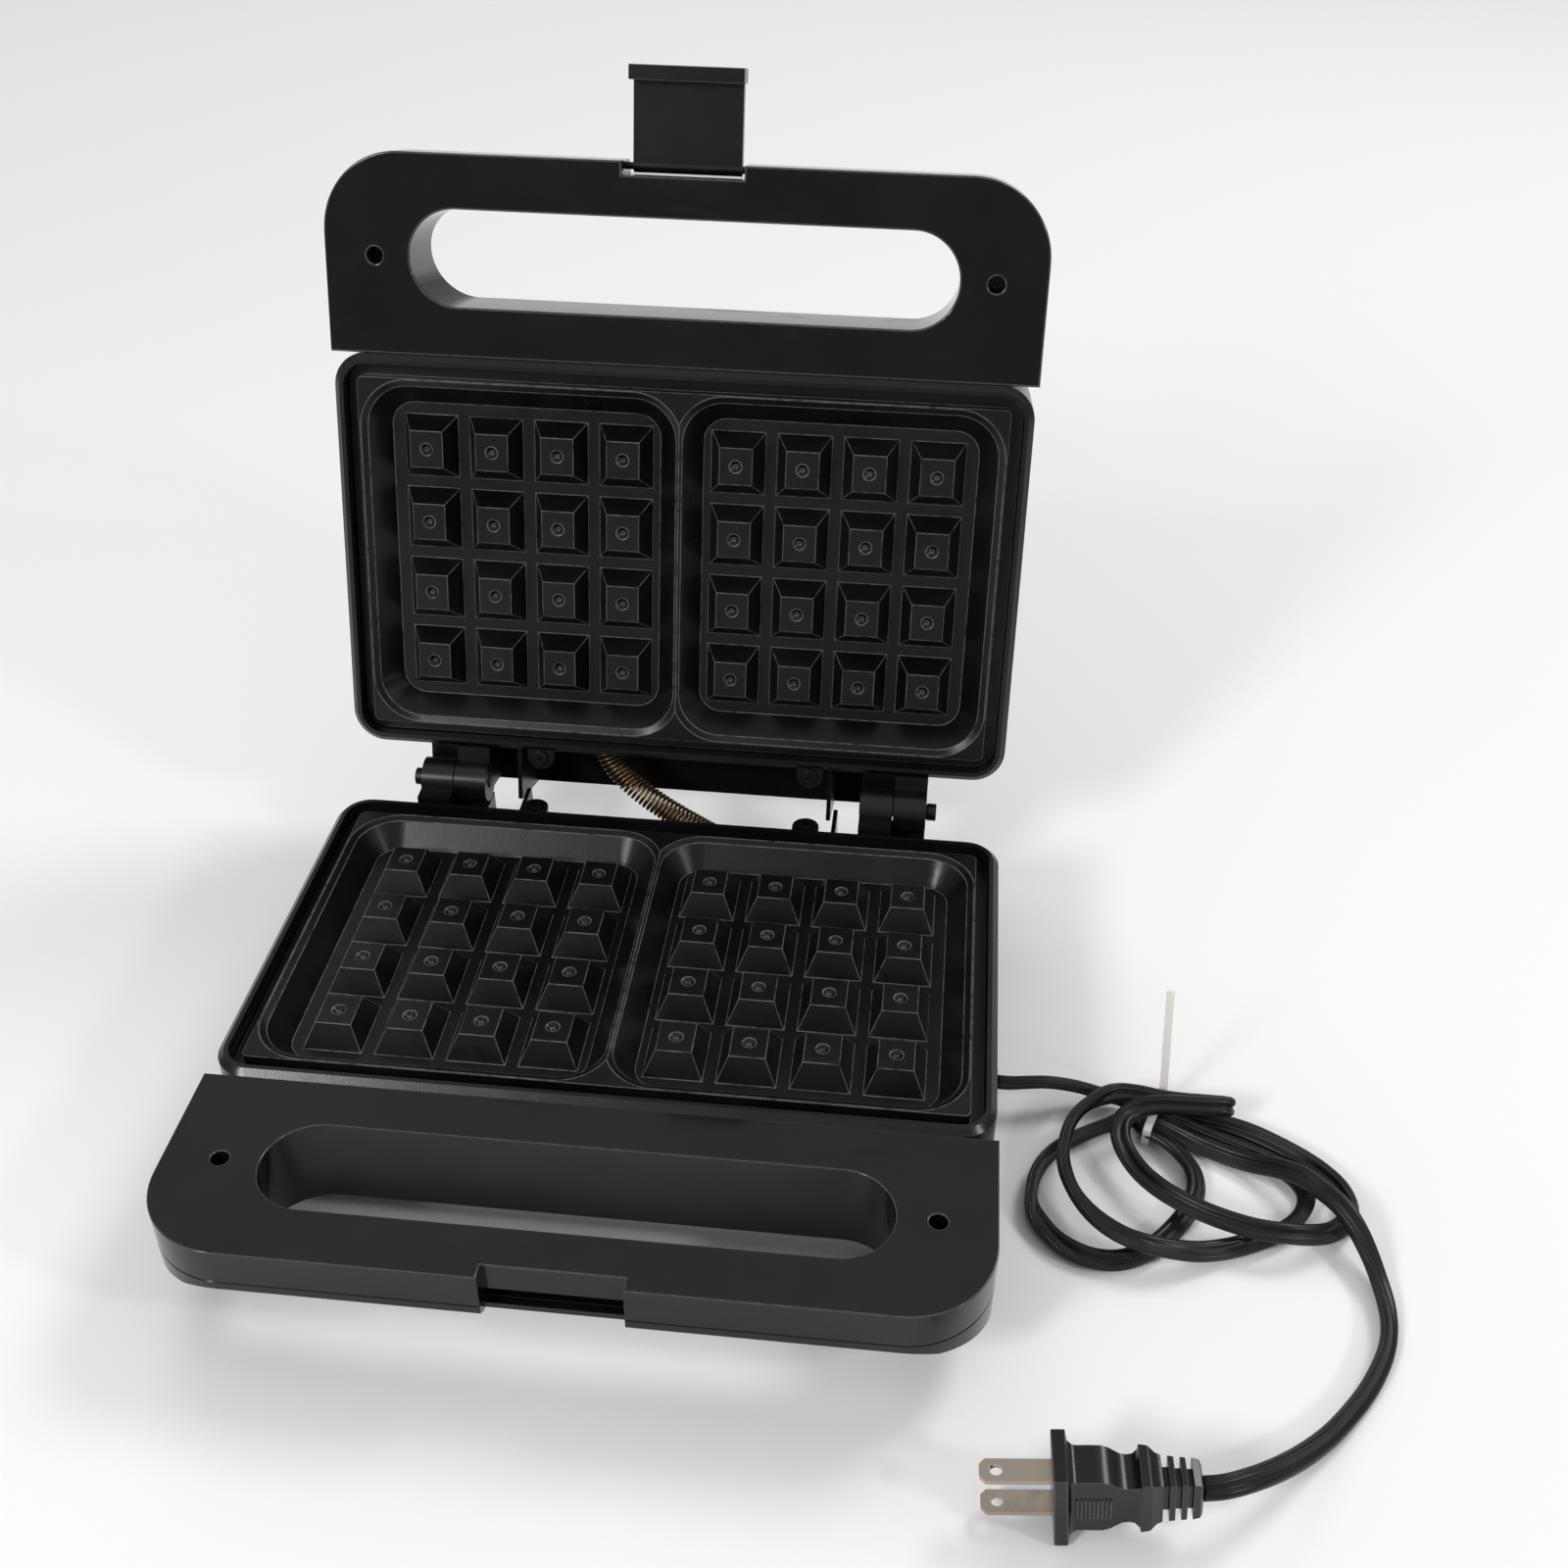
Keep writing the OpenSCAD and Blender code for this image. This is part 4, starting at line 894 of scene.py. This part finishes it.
class WAFFLE_OT_plug(bpy.types.Operator):
    """Two-blade plug with a ribbed neck and a ridged grip"""

    bl_idname = "waffle.plug"
    bl_label = "Plug"

    def execute(self, context):
        body = extruded("plug_grip", PLUG_STATIONS)
        round_edges(body, PLUG_EDGE, segments=3, least=40.0)
        ridges = []
        for side in (-1, 1):
            for i in range(RIDGES):
                spot = (RIDGE_START + i * RIDGE_PITCH, side * RIDGE_Y, RIDGE_Z)
                ridge = cube_at(
                    Matrix.Scale(MM, 4) @ Matrix.Translation(spot)
                    @ Matrix.Diagonal((*RIDGE_SIZE, 1.0))
                )
                round_edges(ridge, RIDGE_EDGE)
                ridges.append(ridge)
        pick(body)
        for ridge in ridges:
            ridge.select_set(True)
        bpy.ops.object.join()
        body.data.transform(plug_place() @ Matrix.Scale(1 / MM, 4))
        complete(body, "plug_body", "base", "plug_satin", angle=48.0)
        blades = dressed(
            "plug_blades", "plug_prongs", "base", "blade_nickel", "blade_brass",
            width=0.2, least=40.0,
        )

        path = [tuple(p) for p in lead_line()[0]]
        return {"FINISHED"}


class WAFFLE_OT_gland(bpy.types.Operator):
    """Rubber bushing that grips the lead where it leaves the base"""

    bl_idname = "waffle.gland"
    bl_label = "Gland"

    def execute(self, context):
        dressed("cord_gland", "lead_gland", "base", "gland_rubber", "lead_rubber", width=0.4)
        return {"FINISHED"}


def sheath_line(a, b, c, d):
    """Points along the Bezier curve from a to d that b and c pull at."""
    line = []
    for i in range(SHEATH_STEPS + 1):
        t = i / SHEATH_STEPS
        u = 1 - t
        line.append(a * u**3 + b * 3 * u * u * t + c * 3 * u * t * t + d * t**3)
    return line


def coil_round(line, radius, pitch):
    """Centres of a coil's wire round a line of points, each with its outward and its
    forward direction."""
    last = len(line) - 1
    run = [0.0]
    for before, after in zip(line, line[1:]):
        run.append(run[-1] + (after - before).length)
    count = int(run[-1] / pitch * COIL_SIDES)
    across = Vector((0, 1, 0))
    centres, outs, ways = [], [], []
    at = 0
    for i in range(count + 1):
        gone = run[-1] * i / count
        while at < last - 1 and run[at + 1] < gone:
            at += 1
        share = (gone - run[at]) / (run[at + 1] - run[at])
        middle = line[at].lerp(line[at + 1], min(max(share, 0.0), 1.0))
        way = (line[min(at + 2, last)] - line[max(at - 1, 0)]).normalized()
        side = way.cross(across).normalized()
        phase = 2 * math.pi * i / COIL_SIDES
        out = side * math.cos(phase) + side.cross(way) * math.sin(phase)
        centres.append(middle + out * radius)
        outs.append(out)
        ways.append(way)
    return centres, outs, ways


class WAFFLE_OT_sheath(bpy.types.Operator):
    """Coiled wire sheath that carries the wires from the base to the lid"""

    bl_idname = "waffle.sheath"
    bl_label = "Wire sheath"

    def execute(self, context):
        sizes = context.scene.waffle_sizes
        hole = Vector(SHEATH_HOLE)
        a = lid_place() @ hole
        b = lid_place() @ (hole + Vector(SHEATH_LID_PULL))
        c = base_place() @ (hole + Vector(SHEATH_BASE_PULL))
        d = base_place() @ hole
        wire_r = sizes.wire / 2
        coil = coil_round(
            sheath_line(a, b, c, d), SHEATH_D * MM / 2 - wire_r, sizes.coil_pitch)
        angles = [2 * math.pi * k / WIRE_SIDES for k in range(WIRE_SIDES)]
        outline = [(wire_r * math.cos(angle), wire_r * math.sin(angle)) for angle in angles]
        piece = swept("wire_sheath_coil", *coil, outline)
        wear(piece, "sheath_bronze")
        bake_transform(piece, "base", "lid", start=tuple(d), end=tuple(a))
        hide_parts("wire_sheath")
        return {"FINISHED"}


# ------------------------------------------------------------------ shells, handles and plates


def halves():
    """The two bodies that are halves, and the matrices to their places."""
    return ("base", base_place()), ("lid", lid_place())


def shell_edge(p):
    """Edges of a shell's rim, of its outer panel and of its hinge lugs."""
    return p.z > -RIM_BAND or p.z < -SHELL_H + PANEL_BAND or p.y > REAR_Y + REAR_CLEAR


def inner_face_edge(p):
    """Edges of a handle's face towards the other half."""
    return p.z > HANDLE_TOP - NEAR


def outer_face_edge(p):
    """Edges of a handle's outer face, clear of the half's shell."""
    return p.z < -SEAM_H - OUTER_BAND and p.y < FRONT_Y - HANDLE_CLEAR


def seam_edge(p):
    """Outer edges of a handle's two shells along the seam between them."""
    side = abs(p.x)
    corner_x = HANDLE_HALF_W - HANDLE_R
    corner_y = HANDLE_FRONT + HANDLE_R
    straight = p.y < HANDLE_FRONT + SIDE_DEPTH or side > HANDLE_HALF_W - SIDE_DEPTH
    round_corner = (
        side > corner_x and p.y < corner_y
        and math.hypot(side - corner_x, p.y - corner_y) > HANDLE_R - CORNER_DEPTH
    )
    return abs(p.z + SEAM_H) < NEAR and (straight or round_corner)


def well_edge(p):
    """Edges of the pyramids, the wells and the web between them."""
    return p.z > -WELL_H - NEAR


class WAFFLE_OT_shells(bpy.types.Operator):
    """Moulded shells of the base and the lid"""

    bl_idname = "waffle.shells"
    bl_label = "Shells"

    def execute(self, context):
        width = context.scene.waffle_sizes.shell_edge / MM
        for body, place in halves():
            dressed(
                body + "_shell", body + "_moulding", body, "shell_satin", "shell_plastic",
                width, where=shell_edge, least=28.0, place=place,
            )
        return {"FINISHED"}


class WAFFLE_OT_handles(bpy.types.Operator):
    """Glossy two-part handles with their finger slots"""

    bl_idname = "waffle.handles"
    bl_label = "Handles"

    def execute(self, context):
        width = context.scene.waffle_sizes.handle_edge / MM
        base, lid = halves()
        for (body, place), side, face_edge in (
            (base, "top", inner_face_edge),
            (base, "under", outer_face_edge),
            (lid, "inner", inner_face_edge),
            (lid, "outer", outer_face_edge),
        ):
            node = f"{body}_handle_{side}"
            piece = copy_of(node, f"{body}_grip_{side}")
            round_edges(piece, width, face_edge, 3, 28.0, place)
            round_edges(piece, SEAM_EDGE, seam_edge, 1, 28.0, place)
            complete(piece, node, body, "handle_gloss")
        return {"FINISHED"}


class WAFFLE_OT_plates(bpy.types.Operator):
    """Cast plates with their coated pyramids"""

    bl_idname = "waffle.plates"
    bl_label = "Plates"

    def execute(self, context):
        width = context.scene.waffle_sizes.plate_edge / MM
        for level, (body, place) in zip(("lower", "upper"), halves()):
            dressed(
                level + "_plate", level + "_casting", body, "plate_coating", "coated_plate",
                width, where=well_edge, least=14.0, place=place,
            )
        return {"FINISHED"}


class WAFFLE_OT_latch(bpy.types.Operator):
    """Hooked latch flap"""

    bl_idname = "waffle.latch"
    bl_label = "Latch"

    def execute(self, context):
        dressed("latch", "latch_flap", "latch", "shell_satin", "handle_plastic", width=0.4)
        return {"FINISHED"}


# ------------------------------------------------------------------ screws, pins, feet, lamps


def cross_recess(piece, place, spots, top, toward, radius):
    """Cuts a cross recess into each screw head at spots, whose heads end at top and face
    toward +1 or -1 along z."""
    cutters = [
        cube_at(
            place
            @ Matrix.Translation((x, y, top - toward * RECESS_MIDDLE))
            @ Matrix.Rotation(turn + RECESS_TURN, 4, "Z")
            @ Matrix.Diagonal((radius * RECESS_REACH, RECESS_W, RECESS_H, 1.0))
        )
        for x, y in spots for turn in (0.0, math.pi / 2)
    ]
    for cutter in cutters:
        pick(piece)
        modifier = piece.modifiers.new("recess", "BOOLEAN")
        modifier.operation = "DIFFERENCE"
        modifier.solver = "EXACT"
        modifier.object = cutter
        bpy.ops.object.modifier_apply(modifier=modifier.name)
        bpy.data.objects.remove(cutter, do_unlink=True)


class WAFFLE_OT_screws(bpy.types.Operator):
    """Screws with rounded heads and cross recesses"""

    bl_idname = "waffle.screws"
    bl_label = "Screws"

    def execute(self, context):
        post_spots = [(x * POST_X, y * POST_Y) for x in (-1, 1) for y in (-1, 1)]
        handle_spots = [(x * HANDLE_SCREW_X, HANDLE_SCREW_Y) for x in (-1, 1)]
        ear_spots = [(x * EAR_X, EAR_Y) for x in (-1, 1)]
        post_top = -SHELL_H + POST_SINK - POST_HEAD_H
        handle_top = HANDLE_TOP - HANDLE_SINK + HANDLE_HEAD_H
        for body, place in halves():
            for kind, look, spots, top, toward, radius in (
                ("plate", "screw_steel", post_spots, post_top, -1, 3.0),
                ("handle", "black_steel", handle_spots, handle_top, 1, 2.4),
                ("ear", "black_steel", ear_spots, EAR_Z + EAR_HEAD_H, 1, 2.5),
            ):
                node = f"{body}_{kind}_screws"
                piece = copy_of(node, node + "_turned")
                round_edges(
                    piece, SCREW_EDGE, least=40.0, place=place,
                    where=lambda p, top=top: abs(p.z - top) < NEAR / 2,
                )
                cross_recess(piece, place, spots, top, toward, radius)
                complete(piece, node, body, look)
        return {"FINISHED"}


class WAFFLE_OT_small_parts(bpy.types.Operator):
    """Hinge pins, latch pin, rubber feet and lamp lenses"""

    bl_idname = "waffle.small_parts"
    bl_label = "Pins, feet and lamps"

    def execute(self, context):
        for node, name, body, look, slot, width in (
            ("hinge_pins", "hinge_rivets", "base", "black_steel", "pin_steel", 0.5),
            ("latch_pin", "latch_rod", "lid", "black_steel", "pin_steel", 0.2),
            ("rubber_feet", "feet", "base", "foot_rubber", "foot_rubber", 0.6),
            ("power_lamp", "power_lens", "lid", "red_lens", "red_lens", 0.45),
            ("ready_lamp", "ready_lens", "lid", "green_lens", "green_lens", 0.45),
        ):
            dressed(node, name, body, look, slot, width, segments=3, least=40.0)
        return {"FINISHED"}


class WAFFLE_OT_inner_parts(bpy.types.Operator):
    """Heating elements, shields, thermostat, fuse and terminal block"""

    bl_idname = "waffle.inner_parts"
    bl_label = "Inner parts"

    def execute(self, context):
        for node, name, body, look, slot, width in (
            ("lower_element", "lower_heater", "base", "heater_tube", "heater_steel", 1.2),
            ("upper_element", "upper_heater", "lid", "heater_tube", "heater_steel", 1.2),
            ("lower_heat_shield", "lower_shield", "base", "shield_sheet", "sheet_metal", 0.3),
            ("upper_heat_shield", "upper_shield", "lid", "shield_sheet", "sheet_metal", 0.3),
            ("thermostat", "thermostat_can", "base", "terminal_ceramic", "ceramic", 0.4),
            ("thermal_fuse", "fuse_can", "lid", "fuse_ceramic", "ceramic", 0.4),
            ("terminal_block", "terminal_strip", "base", "terminal_ceramic", "ceramic", 0.5),
        ):
            dressed(node, name, body, look, slot, width, least=50.0)
        return {"FINISHED"}


# ------------------------------------------------------------------ camera and stage


class WAFFLE_OT_camera(bpy.types.Operator):
    """Camera in front of the open waffle maker, looking down on it"""

    bl_idname = "waffle.camera"
    bl_label = "Camera"

    def execute(self, context):
        data = bpy.data.cameras.new("camera")
        data.lens = CAMERA_LENS
        data.sensor_width = CAMERA_SENSOR
        data.clip_end = CAMERA_REACH
        camera = bpy.data.objects.new("camera", data)
        turn = Euler([math.radians(angle) for angle in CAMERA_TURN], "XYZ")
        camera.matrix_world = Matrix.Translation(CAMERA_PLACE) @ turn.to_matrix().to_4x4()
        context.scene.collection.objects.link(camera)
        context.scene.camera = camera
        return {"FINISHED"}


def lay_floor(colour):
    """A wide floor of pale paper."""
    bpy.ops.object.select_all(action="DESELECT")
    bpy.ops.mesh.primitive_plane_add(size=FLOOR_SIZE, location=(0, 0, FLOOR_Z))
    floor = bpy.context.active_object
    floor.name = "floor"
    settle(floor)
    look = Finish("floor_paper")
    tooth = look.noise(900.0, 2.0, 0.5)
    cloud = look.noise(1.6, 2.0, 0.5)
    floor.data.materials.append(look.done(
        Base_Color=look.blend(cloud, colour, tinted(colour, 0.97)),
        Roughness=tooth * 0.1 + 0.6,
        Normal=look.bump(tooth, 0.02),
        Specular_IOR_Level=0.3,
    ))


def hang_lamp(name, place, aim, size, power, tint, in_gloss):
    """A round soft lamp at its place, turned to its aim."""
    data = bpy.data.lights.new(name, "AREA")
    data.shape = "DISK"
    data.size = size
    data.energy = power
    data.color = tint
    lamp = bpy.data.objects.new(name, data)
    turn = (Vector(aim) - Vector(place)).to_track_quat("-Z", "Y")
    lamp.matrix_world = Matrix.Translation(place) @ turn.to_matrix().to_4x4()
    lamp.visible_glossy = in_gloss
    bpy.context.scene.collection.objects.link(lamp)


def plain_room():
    """A world that lights from above and shows the camera an even backdrop."""
    world = bpy.data.worlds.new("studio")
    world.use_nodes = True
    room = Graph(world.node_tree)
    way = room.node("ShaderNodeTexCoord", {}, {}, "Generated")
    height = room.node("ShaderNodeSeparateXYZ", {}, {"Vector": way}, "Z")
    rise = height.above(HORIZON_END, CEILING_START)
    strength = rise * (CEILING_LIGHT - HORIZON_LIGHT) + HORIZON_LIGHT
    light = room.node("ShaderNodeBackground", {}, {"Color": SKY, "Strength": strength})
    backdrop = room.node("ShaderNodeBackground", {}, {"Color": BACKDROP})
    seen = room.node("ShaderNodeLightPath", {}, {}, "Is Camera Ray")
    either = room.node("ShaderNodeMixShader", {}, {0: seen, 1: light, 2: backdrop})
    room.feed(room.nodes.new("ShaderNodeOutputWorld"), {"Surface": either})
    return world


class WAFFLE_OT_stage(bpy.types.Operator):
    """Pale floor, soft lamps and a plain world"""

    bl_idname = "waffle.stage"
    bl_label = "Stage"

    def execute(self, context):
        lay_floor(tuple(context.scene.waffle_colours.floor))
        for lamp in LAMPS:
            hang_lamp(*lamp)
        context.scene.world = plain_room()
        context.scene.view_settings.view_transform = "Standard"
        return {"FINISHED"}


# ------------------------------------------------------------------ the add-on


STEPS = (
    WAFFLE_OT_camera,
    WAFFLE_OT_lead,
    WAFFLE_OT_tie,
    WAFFLE_OT_plug,
    WAFFLE_OT_gland,
    WAFFLE_OT_sheath,
    WAFFLE_OT_shells,
    WAFFLE_OT_handles,
    WAFFLE_OT_plates,
    WAFFLE_OT_latch,
    WAFFLE_OT_screws,
    WAFFLE_OT_small_parts,
    WAFFLE_OT_inner_parts,
    WAFFLE_OT_stage,
)


class WAFFLE_PT_panel(bpy.types.Panel):
    """Sizes, colours and steps of the waffle maker"""

    bl_idname = "WAFFLE_PT_panel"
    bl_label = "Waffle maker"
    bl_space_type = "VIEW_3D"
    bl_region_type = "UI"
    bl_category = "Waffle maker"

    def draw(self, context):
        column = self.layout.column(align=True)
        for group in (context.scene.waffle_sizes, context.scene.waffle_colours):
            for key in group.__annotations__:
                column.prop(group, key)
        for step in STEPS:
            column.operator(step.bl_idname)


CLASSES = (WaffleSizes, WaffleColours, *STEPS, WAFFLE_PT_panel)


def register():
    """Registers the classes and the scene's settings."""
    for cls in CLASSES:
        bpy.utils.register_class(cls)
    bpy.types.Scene.waffle_sizes = PointerProperty(type=WaffleSizes)
    bpy.types.Scene.waffle_colours = PointerProperty(type=WaffleColours)


def unregister():
    """Removes them again."""
    del bpy.types.Scene.waffle_colours
    del bpy.types.Scene.waffle_sizes
    for cls in reversed(CLASSES):
        bpy.utils.unregister_class(cls)


def main():
    """Builds every piece in order."""
    register()
    for step in STEPS:
        group, name = step.bl_idname.split(".")
        if getattr(getattr(bpy.ops, group), name)() != {"FINISHED"}:
            raise RuntimeError(step.bl_label + " was not finished")


if __name__ == "__main__":
    main()
